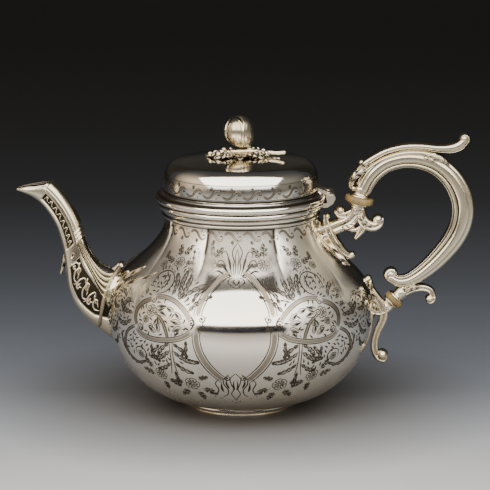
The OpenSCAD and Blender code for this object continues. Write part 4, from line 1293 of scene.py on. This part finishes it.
def make_upper_bracket():
    s = Solid()
    cup(s, UPPER, -1)
    # arm from the neck up to the cup
    sweep(s, [(42.5, 95.6, 4.8, 4.0), (47.5, 97.8, 4.6, 4.0), (53.0, 100.0, 4.3, 3.9),
              (58.4, 102.4, 4.0, 3.8), (62.0, 106.0, 4.0, 3.9), (64.0, 110.0, 3.8, 4.0)],
          TWO_ROLL, 8)
    # curls: right S, left knob, pendant tip
    sweep(s, [(65.6, 109.4, 2.8, 3.4), (66.4, 104.6, 3.4, 3.6), (69.2, 101.0, 3.5, 3.7),
              (73.0, 99.8, 3.0, 3.5), (76.0, 101.2, 2.4, 3.2), (77.0, 103.8, 1.8, 3.0)],
          TWO_ROLL, 8)
    s.ball((75.2, 0, 103.8), 3.1, (1, 1.3, 1))
    sweep(s, [(63.6, 111.2, 2.2, 3.2), (61.0, 107.8, 2.6, 3.4), (57.4, 106.2, 2.5, 3.4),
              (54.2, 106.4, 2.2, 3.2), (52.4, 108.2, 1.7, 2.9)], TWO_ROLL, 8)
    s.ball((54.4, 0, 108.8), 2.8, (1, 1.35, 1))
    sweep(s, [(68.4, 101.8, 2.4, 3.0), (66.0, 97.4, 2.2, 2.6), (63.2, 93.4, 1.1, 1.4)],
          TWO_ROLL, 6)
    sweep(s, [(57.0, 99.4, 1.4, 2.4), (61.0, 97.8, 1.5, 2.3), (64.6, 98.6, 1.5, 2.2),
              (66.6, 101.0, 1.1, 2.0)], ROUND, 6)
    s.ball((61.4, 0, 99.8), 1.3, (1, 1.8, 1), tone=0.7)
    leaf_pair(s, [(64.6, 3.2, 108.4), (66.6, 3.7, 104.4), (69.4, 3.5, 101.4),
                  (72.8, 3.0, 100.4)], (0.2, 1, 0.2), 1.9, lobes=4, crown=0.8, thick=0.9,
              vein=0.5)
    leaf_pair(s, [(55.4, 3.7, 99.2), (59.4, 3.9, 99.8), (62.6, 3.5, 102.4)],
              (0.1, 1, -0.3), 1.6, lobes=3, crown=0.8, thick=0.9, vein=0.4)
    # back plate on the neck: an upper curl and a long lobed leaf down to the shoulder
    body_leaf(s, [(90, 105.5), (90, 100), (90, 93), (90, 87), (90, 81.5)], 4.6, 5, 2.6)
    for m in (False, True):
        body_leaf(s, [(89, 92), (84.6, 88.0), (81.8, 83.4), (82.6, 79.4)], 2.0, 3, 1.6,
                  mirror=m)
        body_leaf(s, [(89.5, 99), (85, 101.9), (82.0, 104.4)], 1.9, 2, 1.6, mirror=m)
    sweep(s, [(46.0, 106.4, 1.2, 3.4), (47.2, 101.4, 2.4, 4.4), (49.4, 95.6, 3.0, 4.8),
              (52.6, 90.2, 2.8, 4.2), (56.6, 85.8, 2.2, 3.4), (60.4, 83.0, 1.6, 2.6)],
          TWO_ROLL, 8)
    s.ball((61.0, 0, 83.8), 2.2, (1, 1.4, 1))
    s.ball((47.2, 0, 105.8), 2.2, (1, 1.9, 1))
    s.make("upper_bracket", CAST, POT, "silver_cast", ["upper_socket"])


def make_lower_bracket():
    s = Solid()
    cup(s, LOWER, -1)
    sweep(s, [(71.0, 66.4, 1.3, 2.8), (72.8, 63.2, 2.2, 3.4), (75.4, 59.0, 2.7, 3.6),
              (78.0, 54.4, 3.0, 3.7), (79.0, 49.8, 2.8, 3.5), (77.8, 45.2, 2.4, 3.2),
              (75.6, 40.4, 2.2, 3.0), (74.2, 35.2, 2.2, 2.9), (74.2, 30.6, 2.3, 2.9),
              (76.0, 26.2, 2.2, 3.1), (79.4, 24.4, 1.8, 3.0)], TWO_ROLL, 8)
    sweep(s, [(82.6, 56.4, 3.2, 3.5), (80.0, 53.4, 3.0, 3.5), (77.0, 51.6, 2.2, 3.2),
              (73.6, 51.6, 1.6, 2.8)], TWO_ROLL, 6)
    s.ball((78.3, 0, 27.0), 3.5, (1, 1.2, 1))
    volute(s, 78.0, 26.8, 3.3, -80, 0.9, 1.0, 3.0)
    s.ball((70.2, 0, 70.4), 2.2, (1, 1.4, 1))
    sweep(s, [(74.2, 60.8, 1.4, 2.6), (72.4, 65.0, 1.5, 2.8), (71.4, 69.0, 1.3, 2.6)],
          ROUND, 6)
    for m in (False, True):
        body_leaf(s, [(89.5, 61.6), (84.6, 61.6), (80.2, 62.4), (76.6, 64.6)], 2.2, 4, 1.7,
                  mirror=m)
        body_leaf(s, [(89.5, 64), (85.6, 66.6), (82.6, 70.0)], 1.7, 3, 1.5, mirror=m)
        body_leaf(s, [(89.5, 58), (85.2, 56.8), (82.4, 54.0)], 1.6, 3, 1.4, mirror=m)
    body_leaf(s, [(90, 66), (90, 60), (90, 54), (90, 48)], 3.0, 4, 1.8)
    s.make("lower_bracket", CAST, POT, "silver_cast", ["lower_socket"])


def make_discs():
    """The insulating discs, each with the tenons that enter its two cups."""
    for joint, name, node in ((UPPER, "upper_bone_disc", "upper_insulator"),
                              (LOWER, "lower_bone_disc", "lower_insulator")):
        centre, tilt, r, h, cup_r = joint
        s = Solid()
        e = h / 2 - 0.03
        k = cup_r - 1.5
        prof = [(0.02, -e - 5), (k, -e - 5), (k, -e), (r - 0.7, -e), (r - 0.15, -e + 0.35),
                (r, -e + 0.9), (r, e - 0.9), (r - 0.15, e - 0.35), (r - 0.7, e), (k, e),
                (k, e + 5), (0.02, e + 5)]
        prof = np.array(prof)
        a = np.linspace(0, TAU, 140, endpoint=False)[None, :]
        rad = prof[:, 0:1] + 0 * a
        edge = (prof[:, 0:1] > r - 1)
        for notch in (0.9, 2.5, 4.2, 5.4):
            off = (a - notch + math.pi) % TAU - math.pi
            rad = rad - edge * 0.5 * np.exp(-(off / 0.035) ** 2)
        rad = rad + edge * 0.08 * np.sin(5 * a)
        g = np.stack([rad * np.cos(a), rad * np.sin(a), prof[:, 1:2] + 0 * a], -1)
        s.grid(at_joint(centre, tilt)(g), wrap=True, caps=True)
        s.make(name, BONE, POT, "insulator_bone", [node])


# ---------------------------------------------------------------- engraving

def engrave_lid():
    """The lid's wave band between two lines."""
    g = Graver()
    running_scroll(g, DOME, 125.6, 24, 6.4, 3, 1)
    for z in (121.8, 129.8):
        c = Chart(DOME, 0, z)
        x = np.linspace(-math.pi, math.pi, 400) * DOME.radius(c.s)
        g.line(c, np.stack([x, 0 * x], 1), 0.26)
    g.make("engraved_lid", ENGRAVED, LID, "silver_raised")


def engrave_face(g, face):
    """One side of the body: the cartouche, its palmettes and the scrolls beside it.
    face is the direction of its middle; places are degrees from there and heights."""
    big = Chart(BODY, face, 54)

    def place(points, mirror):
        p = np.array(points, float)
        s = np.interp(p[:, 1], BODY.z, BODY.s)
        return np.stack([np.radians(p[:, 0]) * BODY.radius(s) * mirror, s - big.s], 1)

    def draw(points, width=CUT, kind="line"):
        for m in (1, -1):
            g.line(big, smooth(place(points, m), 6), width, kind)

    def ribbon(points, half):
        for m in (1, -1):
            p = resample(smooth(place(points, m), 6), 0.8)
            n = normals_2d(p)
            g.line(big, p, half * 1.2, "shade")
            for k, w in ((-1, 0.62), (-0.5, FINE), (0.5, FINE), (1, 0.62)):
                g.line(big, p + n * half * k, w)

    def put(strokes, deg, z, turn=0.0):
        for m in (1, -1):
            g.motif(Chart(BODY, face + deg * m, z), move(strokes, turn=turn, flip=m))

    def fringe(points, n, size, side, **kw):
        for m in (1, -1):
            g.motif(big, lobes(smooth(place(points, m), 6), n, size, side * m, **kw))

    # cartouche: two C scrolls a side, their inner ends rolled up beside a boss
    ribbon([(3.4, 85.8), (7.6, 83.6), (11.4, 79.6), (14.2, 75.2), (15.9, 69.6), (16.3, 65.0)],
           2.1)
    ribbon([(16.4, 56.8), (16.2, 51), (14.8, 44.6), (12, 38.2), (8, 32.6), (5.0, 29.6)], 2.1)
    for deg, z, r, a in ((14.2, 63.6, 2.0, 90), (14.2, 58.4, 2.0, 270), (18.6, 61.2, 1.9, 0),
                         (3.8, 31.0, 1.8, 90), (4.4, 84.2, 1.6, 180)):
        put(curl(r, 1.4, a, 0.6), deg, z)
        put(dot(r * 0.45), deg, z)
    draw([(19.0, 64.6), (17.4, 61.4), (19.0, 57.6)], BOLD)
    draw([(12.2, 65.2), (13.6, 61.2), (12.2, 57.0)], CUT)

    # palmette above
    draw([(0, 99.4), (1.9, 97.4), (3.3, 95.2), (3.0, 93.2), (1.8, 90.6), (2.2, 87.6),
          (1.2, 84.2)], 0.6)
    draw([(0.0, 96.2), (1.2, 92.6), (0.7, 88.4), (0.7, 84.4)])
    draw([(2.3, 84.4), (4.2, 87.6), (5.2, 91.2), (7.2, 94.6), (9.6, 94.8), (10.2, 92.8),
          (8.8, 92.2)], 0.6)
    draw([(3.4, 84.2), (6.4, 87.2), (8.6, 90.4), (11.2, 90.8), (12.2, 88.8), (11.0, 87.8)],
         0.6)
    draw([(3.2, 86.2), (4.6, 89.8), (6.0, 92.6)], 1.3, "comma")
    draw([(5.0, 85.2), (7.8, 87.8), (10, 89.6)], 1.2, "comma")
    draw([(4.2, 84.0), (7.6, 84.8), (10.6, 86.0), (13.0, 85.4)], 1.1, "comma")
    draw([(1.2, 83.2), (3.6, 82.6), (4.4, 81.0), (2.6, 79.8), (0, 78.2)], 0.6)
    draw([(0.4, 82.8), (1.6, 81.6), (0.3, 79.8)], 0.9, "comma")
    put(dot(0.6), 0, 100.6)

    # shell below
    draw([(0, 34.2), (2.3, 31.2), (2.0, 27.6), (1.0, 24.2), (2.2, 21.0), (0.8, 18.2),
          (0, 16.2)], 0.6)
    draw([(2.8, 33.6), (5.2, 30.6), (5.4, 27.2), (3.6, 23.8), (4.2, 20.4), (6.6, 18.8)], 0.7)
    draw([(4.0, 31.0), (4.2, 27.8), (3.0, 24.6)], 1.2, "comma")
    draw([(7.4, 30.6), (9.4, 27.6), (8.2, 24.0), (9.4, 21.0), (12.2, 21.0), (12.8, 23.4),
          (11.0, 24.2)], 0.7)
    draw([(6.4, 28.6), (6.6, 25.2), (6.0, 22.2)], 1.3, "comma")
    draw([(0.5, 30.4), (1.0, 27.0), (0.4, 23.4)], 0.9, "comma")
    for deg, z in ((0, 14.6), (2.2, 15.6), (7.8, 17.6), (10.8, 18.8)):
        put(dot(0.6), deg, z)

    # ribbons that cross beside the cartouche
    ribbon([(19.2, 62.6), (21.7, 66.2), (25.2, 69.3), (29.6, 71.5), (34.7, 72.3),
            (39.4, 71.6)], 1.15)
    ribbon([(18.6, 56.4), (22.6, 53.2), (27.7, 51.2), (33, 50.2), (38.7, 50.2), (44.0, 51.6),
            (46.6, 54.4)], 1.3)
    ribbon([(29.6, 52.0), (30.6, 56.2), (32.5, 60.4), (35.6, 63.2)], 0.8)
    ribbon([(41.2, 70.4), (45.5, 67.9), (47.8, 64.2), (48.0, 59.8), (46.8, 56.0)], 1.05)
    for deg, z, r, a in ((39.6, 70.0, 1.7, 90), (44.2, 55.0, 2.2, 0), (36.4, 63.6, 1.1, 0),
                         (43.4, 54.8, 1.1, 120)):
        put(curl(r, 1.5, a, 0.6), deg, z)
    # leaves and a flower inside the lens
    put(blossom(3.1), 39.2, 65.0, 10)
    put(blossom(1.9), 41.4, 60.2, 40)
    for deg, z, turn, l, w in ((37.0, 66.6, 165, 6.4, 1.3), (36.6, 65.0, 192, 7.4, 1.3),
                               (35.0, 66.0, 140, 4.6, 1.0), (23.2, 62.8, 35, 6.2, 1.2),
                               (23.4, 60.8, 5, 6.6, 1.3), (23.2, 58.8, -28, 6.0, 1.2),
                               (24.4, 57.4, -60, 4.6, 1.0), (27.6, 66.2, 20, 5.6, 1.1),
                               (33.8, 54.4, 70, 5.4, 1.2), (35.6, 54.0, 30, 6.2, 1.3),
                               (36.4, 57.6, 110, 4.4, 1.0), (33.6, 58.6, 60, 4.4, 0.9)):
        put(leaflet(l, w), deg, z, turn)
    put(curl(1.7, 1.6, 40, 0.6), 38.4, 56.6)
    for k in range(5):
        put(dot(0.5), 22.6 + 1.7 * k, 55.4 - 0.5 * k)
        put(dot(0.5), 42.4 + 0.3 * k, 58.4 - 1.2 * k)

    # fan of plumes that rises from the upper ribbon
    for deg, z, turn, l, bend, n, reach in (
            (26.6, 71.8, 128, 17, 24, 6, 4.0), (26.4, 71.8, 102, 15, -16, 5, 3.6),
            (26.8, 72.0, 76, 17, 16, 6, 3.6), (31.0, 73.4, 92, 13, -30, 5, 3.2),
            (20.8, 66.6, 122, 13, 30, 5, 3.4), (19.8, 70.6, 96, 10, 40, 4, 2.8)):
        put(frond(l, bend, n, reach), deg, z, turn)
    # great S leaf with feathered strokes
    draw([(39.4, 73.2), (35.2, 75.2), (34.0, 79.2), (37.2, 82.8), (42.4, 83.6),
          (46.6, 81.2), (46.4, 77.2), (43.0, 75.6)], 0.75)
    fringe([(39.6, 74.6), (36.8, 76.6), (36.4, 79.8), (39.4, 82.0), (43.0, 81.6)], 7, 5.4,
           -1, lean=60, hook=-80, w=1.0)
    fringe([(36.2, 75.0), (34.2, 78.0), (35.6, 82.2), (40.4, 84.4)], 6, 3.0, 1, w=0.7)
    fringe([(44, 75.6), (47.8, 77.6), (48.0, 81.4)], 4, 3.6, -1, w=0.9)
    put(frond(13, -60, 5, 3.4), 45.6, 71.6, 64)
    put(frond(12, 70, 5, 3.2), 49.4, 70.2, 20)
    put(frond(11, -50, 5, 3.0), 52.6, 74.6, 60)

    # leaves and scrolls out to the side
    for deg, z, turn, l, bend, n, reach in (
            (50.0, 66.0, 28, 13, -110, 6, 3.6), (50.2, 61.8, -8, 14, 46, 6, 3.4),
            (50.6, 58.2, -40, 13, 60, 5, 3.4), (58.6, 67.6, 40, 12, -90, 5, 3.2),
            (61.6, 62.4, -20, 12, 80, 5, 3.2), (62.0, 55.0, -70, 12, 70, 5, 3.0),
            (69.6, 64.0, 20, 10, -80, 4, 3.0), (70.2, 54.6, -60, 10, 60, 4, 2.8),
            (58.4, 50.0, -80, 13, -50, 5, 3.0), (63.6, 46.6, -70, 10, 70, 4, 2.8)):
        put(frond(l, bend, n, reach), deg, z, turn)
    # the long scroll that turns back below
    tail = [(48.2, 55.0), (53.4, 51.0), (56.4, 44.6), (55.8, 37.6), (50.6, 33.8),
            (44.8, 35.6), (42.4, 40.0), (44.6, 43.8), (48.6, 42.6), (48.8, 39.6)]
    ribbon(tail[:6], 0.75)
    draw(tail[4:], 0.7)
    fringe(tail[:6], 9, 4.0, 1, w=0.9)
    fringe(tail[:8], 9, 3.2, -1, w=0.9)
    put(blossom(2.2), 46.0, 39.6, 30)

    # hanging stem with its leaves
    draw([(27.4, 49.8), (27.6, 43), (27.4, 36), (26.8, 31)], 0.6)
    draw([(28.8, 49.8), (28.8, 43), (29.2, 36), (30.4, 31)], 0.6)
    for deg, z, turn, l, bend, n, reach in (
            (27.2, 49.2, 206, 9, 26, 4, 3.0), (27.4, 45.0, 218, 13.5, -34, 6, 3.6),
            (27.3, 38.6, 226, 10, -30, 4, 3.0), (29.0, 49.2, -32, 9, -20, 4, 3.0),
            (29.0, 45.2, -44, 13, 40, 6, 3.6), (29.4, 38.0, -48, 9, 34, 4, 3.0),
            (28.2, 33.6, 262, 10, 14, 5, 2.6), (38.2, 47.6, -80, 10, -60, 4, 3.0),
            (21.2, 51.8, -100, 8, 50, 4, 2.6), (34.2, 47.8, -60, 7, 40, 3, 2.4)):
        put(frond(l, bend, n, reach), deg, z, turn)

    # flowers with their sprigs
    for deg, z, r in ((16.4, 88.4, 3.5), (20.4, 86.4, 2.8), (37.6, 88.0, 3.2),
                      (20.8, 26.4, 4.1), (36.6, 30.0, 3.7), (58.6, 72.0, 2.6),
                      (49.0, 86.0, 2.2)):
        put(blossom(r), deg, z, 20)
    for deg, z, turn, l in (
            (14.8, 91.4, 112, 6.4), (17.0, 91.8, 76, 7.0), (20.0, 90.0, 34, 6.4),
            (12.6, 88.0, 168, 4.6), (23.6, 85.2, 8, 5.0), (36.4, 91.0, 104, 6.4),
            (39.2, 90.8, 60, 6.0), (41.4, 88.0, 8, 6.0), (33.8, 88.2, 172, 5.4),
            (16.4, 24.0, 205, 7.6), (19.0, 21.8, 248, 6.6), (24.0, 22.8, 300, 7.0),
            (25.2, 27.4, -12, 4.8), (17.2, 29.4, 150, 5.0), (33.0, 27.6, 214, 5.6),
            (36.2, 25.8, 268, 5.6), (40.4, 29.6, 4, 7.0), (40.0, 33.0, 44, 6.4),
            (60.6, 74.2, 50, 5.4), (56.4, 72.4, 150, 5.0), (49.8, 88.2, 70, 4.6)):
        put(sprig(l), deg, z, turn)
    # slender stem with buds beside the crease
    draw([(24.8, 79.6), (26.4, 85.4), (29.2, 91.4), (30.6, 95.6)], 0.6)
    for side in (1, -1):
        fringe([(25.2, 81.4), (26.8, 86.6), (30.0, 93.4)], 5, 3.0, side, w=0.9)
    for deg, z in ((23.4, 88.0), (25.2, 91.6), (28.2, 95.4), (31.6, 90.4), (31.8, 96.8),
                   (21.4, 93.0), (13.0, 93.4), (34.4, 92.4), (43.0, 90.4)):
        put(dot(0.6), deg, z)


def fill_ground(g, face):
    """Small commas wherever the scrolls beside the cartouche leave a bare place."""
    marks = np.vstack(g.marks)
    index = 0
    for deg in np.arange(21, 74, 1.15):
        low = np.interp(deg, [21, 28, 40, 50, 60, 74], [46, 32, 36, 40, 44, 50])
        high = np.interp(deg, [21, 27, 36, 46, 54, 62, 74], [80, 88, 88, 84, 76, 73, 69])
        for z in np.arange(low, high, 1.25):
            for m in (1, -1):
                index += 1
                c = Chart(BODY, face + deg * m, z)
                here = c.at(np.zeros((1, 2)), 0.0)
                if ((marks - here) ** 2).sum(1).min() < 1.45 ** 2:
                    continue
                away = math.degrees(math.atan2(z - 60, deg - 30))
                turn = away + 38 * math.sin(2.4 * index)
                a = math.radians(turn)
                n = len(g.marks)
                g.motif(c, move(comma(3.0, 60 * math.sin(index), 1.0),
                                (-0.9 * m * math.cos(a), -0.9 * math.sin(a)), turn, m))
                marks = np.vstack([marks] + g.marks[n:])


def engrave_body():
    for name, face in (("front", -2.4), ("back", 180.0)):
        g = Graver()
        engrave_face(g, face)
        fill_ground(g, face)
        g.make("engraved_" + name, ENGRAVED, POT, "silver_raised")
    g = Graver()
    running_scroll(g, BODY, 101.8, 26, 6.4, 3, -1)
    g.make("engraved_neck", ENGRAVED, POT, "silver_raised")


# ---------------------------------------------------------------- assembly

make_body()
make_collar()
make_lid()
make_finial()
spout = make_spout()
make_spout_chasing()
make_spout_leaves()
make_handle()
make_upper_bracket()
make_lower_bracket()
make_discs()
engrave_lid()
engrave_body()

trim = body_cutter()
for piece in spout:
    cut(piece, trim, "body_volume")

for node, material in (("foot_ring", RAISED_WIRE), ("lid_seat_ring", INNER),
                       ("lid_bezel", INNER), ("hinge_body_leaf", CAST_WIRE),
                       ("hinge_lid_leaf", CAST_WIRE), ("hinge_pin", RAISED_WIRE),
                       ("finial_stud", INNER), ("finial_washer", INNER),
                       ("finial_nut", INNER), ("cross_pins", RAISED_WIRE)):
    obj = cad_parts[node]
    obj.data.materials.clear()
    obj.data.materials.append(material)


# ---------------------------------------------------------------- floor, light, camera

def stage_material(name):
    """Paper with a painted fall-off of light: pale in front of the object and near black far
    behind it.
    """
    m, tree, bsdf = principled(name, Roughness=0.6)
    co = tree.nodes.new("ShaderNodeNewGeometry")
    sep = tree.nodes.new("ShaderNodeSeparateXYZ")
    tree.links.new(co.outputs["Position"], sep.inputs["Vector"])
    fac = ramp(tree, sep.outputs["Y"], -0.8, 1.4)
    stops = tree.nodes.new("ShaderNodeValToRGB")
    line = stops.color_ramp
    shades = [(-0.6, 0.13), (-0.4, 0.20), (-0.27, 0.34), (-0.2, 0.52), (-0.18, 0.54),
              (-0.12, 0.44), (-0.064, 0.325), (0.0, 0.215), (0.09, 0.148), (0.19, 0.098),
              (0.30, 0.063), (0.43, 0.041), (0.60, 0.020), (0.95, 0.0125), (1.3, 0.0115)]
    line.elements[0].position = 0
    line.elements[0].color = (0.10, 0.098, 0.095, 1)
    line.elements[1].position = 1
    line.elements[1].color = (0.0115, 0.012, 0.012, 1)
    for y, v in shades:
        e = line.elements.new((y + 0.8) / 2.2)
        cool = 0.42 * (0.5 - v) * min(1, v / 0.03) if y > -0.15 else 0
        e.color = (v * (1 - 0.6 * cool), v, v * (1 + 1.1 * cool), 1)
    tree.links.new(fac, stops.inputs["Fac"])
    # painted shadow: the paper is painted darker where the pot stands close over it
    flat = tree.nodes.new("ShaderNodeVectorMath")
    flat.operation = "LENGTH"
    tree.links.new(co.outputs["Position"], flat.inputs[0])
    near = ramp(tree, flat.outputs["Value"], 0.035, 0.15, 0.0, 1.0)
    tree.links.new(mix_colour(tree, near, (0.075, 0.066, 0.056), stops.outputs["Color"]),
                   bsdf.inputs["Base Color"])
    return m


# the paper floor, in metres: its near edge, where it starts to curve up, and the bend
PAPER_NEAR, PAPER_FAR, PAPER_BEND, PAPER_TOP = -2.2, 1.5, 0.6, 2.4


def make_stage():
    """A sheet of paper that lies flat and curves up far behind the pot."""
    bend = [(PAPER_FAR + PAPER_BEND * math.sin(a), PAPER_BEND * (1 - math.cos(a)))
            for a in np.linspace(0.05, math.pi / 2, 24)]
    prof = [(PAPER_NEAR, 0.0), (PAPER_FAR, 0.0)] + bend + [(PAPER_FAR + PAPER_BEND, PAPER_TOP)]
    xs = np.linspace(-2.4, 2.4, 13)
    verts = [(x, y, z) for y, z in prof for x in xs]
    n = len(xs)
    faces = [(i * n + j, i * n + j + 1, (i + 1) * n + j + 1, (i + 1) * n + j)
             for i in range(len(prof) - 1) for j in range(n - 1)]
    mesh = bpy.data.meshes.new("sweep")
    mesh.from_pydata(verts, [], faces)
    mesh.polygons.foreach_set("use_smooth", [True] * len(mesh.polygons))
    mesh.materials.append(stage_material("paper"))
    obj = new_object("sweep", mesh)


def panel_light(name, aim, azimuth, elevation, distance, width, height, power, colour):
    """A rectangular soft light that faces aim from the given direction; azimuth 0 is the
    front and grows towards +X."""
    light = bpy.data.lights.new(name, "AREA")
    light.shape, light.size, light.size_y = "RECTANGLE", width, height
    light.energy, light.color = power, colour
    obj = new_object(name, light)
    a, e = math.radians(azimuth), math.radians(elevation)
    d = Vector((math.sin(a) * math.cos(e), -math.cos(a) * math.cos(e), math.sin(e)))
    obj.location = Vector(aim) + d * distance
    obj.rotation_euler = d.to_track_quat("Z", "Y").to_euler()
    obj.visible_camera = False


def make_world():
    """What the silver mirrors: a grey wall that warms to the left, dark above and behind,
    with one dark strip across the front that shows as a band in the cartouche."""
    world = bpy.data.worlds.new("studio")
    bpy.context.scene.world = world
    world.use_nodes = True
    tree = world.node_tree
    back = tree.nodes["Background"]
    co = tree.nodes.new("ShaderNodeTexCoord")
    sep = tree.nodes.new("ShaderNodeSeparateXYZ")
    tree.links.new(co.outputs["Generated"], sep.inputs["Vector"])
    front = ramp(tree, sep.outputs["Y"], 0.5, -0.2)
    left = ramp(tree, sep.outputs["X"], 0.6, -0.9)
    wall = mix_colour(tree, left, (0.32, 0.295, 0.26), (1.25, 1.02, 0.80))
    high = ramp(tree, sep.outputs["Z"], 0.45, 0.9)
    room = mix_colour(tree, high, wall, (0.10, 0.095, 0.09))
    rise = ramp(tree, sep.outputs["Z"], -0.05, -0.03)
    fall = ramp(tree, sep.outputs["Z"], 0.20, 0.215, 1, 0)
    ahead = ramp(tree, sep.outputs["Y"], -0.5, -0.75)
    strip = maths(tree, "MULTIPLY", maths(tree, "MULTIPLY", rise, fall), ahead)
    room = mix_colour(tree, strip, room, (0.012, 0.014, 0.024))
    tree.links.new(mix_colour(tree, front, (0.055, 0.058, 0.066), room), back.inputs["Color"])
    back.inputs["Strength"].default_value = 0.9


# the photograph's view, in metres and degrees
CAMERA_AIM, CAMERA_DISTANCE, CAMERA_ELEVATION = (0.0022, 0, 0.0892), 1.5, 12
CAMERA_LENS, CAMERA_SENSOR = 200, 36


def make_camera():
    aim = Vector(CAMERA_AIM)
    e = math.radians(CAMERA_ELEVATION)
    data = bpy.data.cameras.new("camera")
    data.lens, data.sensor_width = CAMERA_LENS, CAMERA_SENSOR
    cam = new_object("camera", data)
    back = Vector((0, -math.cos(e), math.sin(e)))
    cam.location = aim + back * CAMERA_DISTANCE
    cam.rotation_euler = back.to_track_quat("Z", "Y").to_euler()
    bpy.context.scene.camera = cam


make_stage()
make_world()
make_camera()
panel_light("softbox", (0, 0, 0.07), 0, 46, 1.0, 2.5, 1.36, 41, (1.0, 0.98, 0.945))
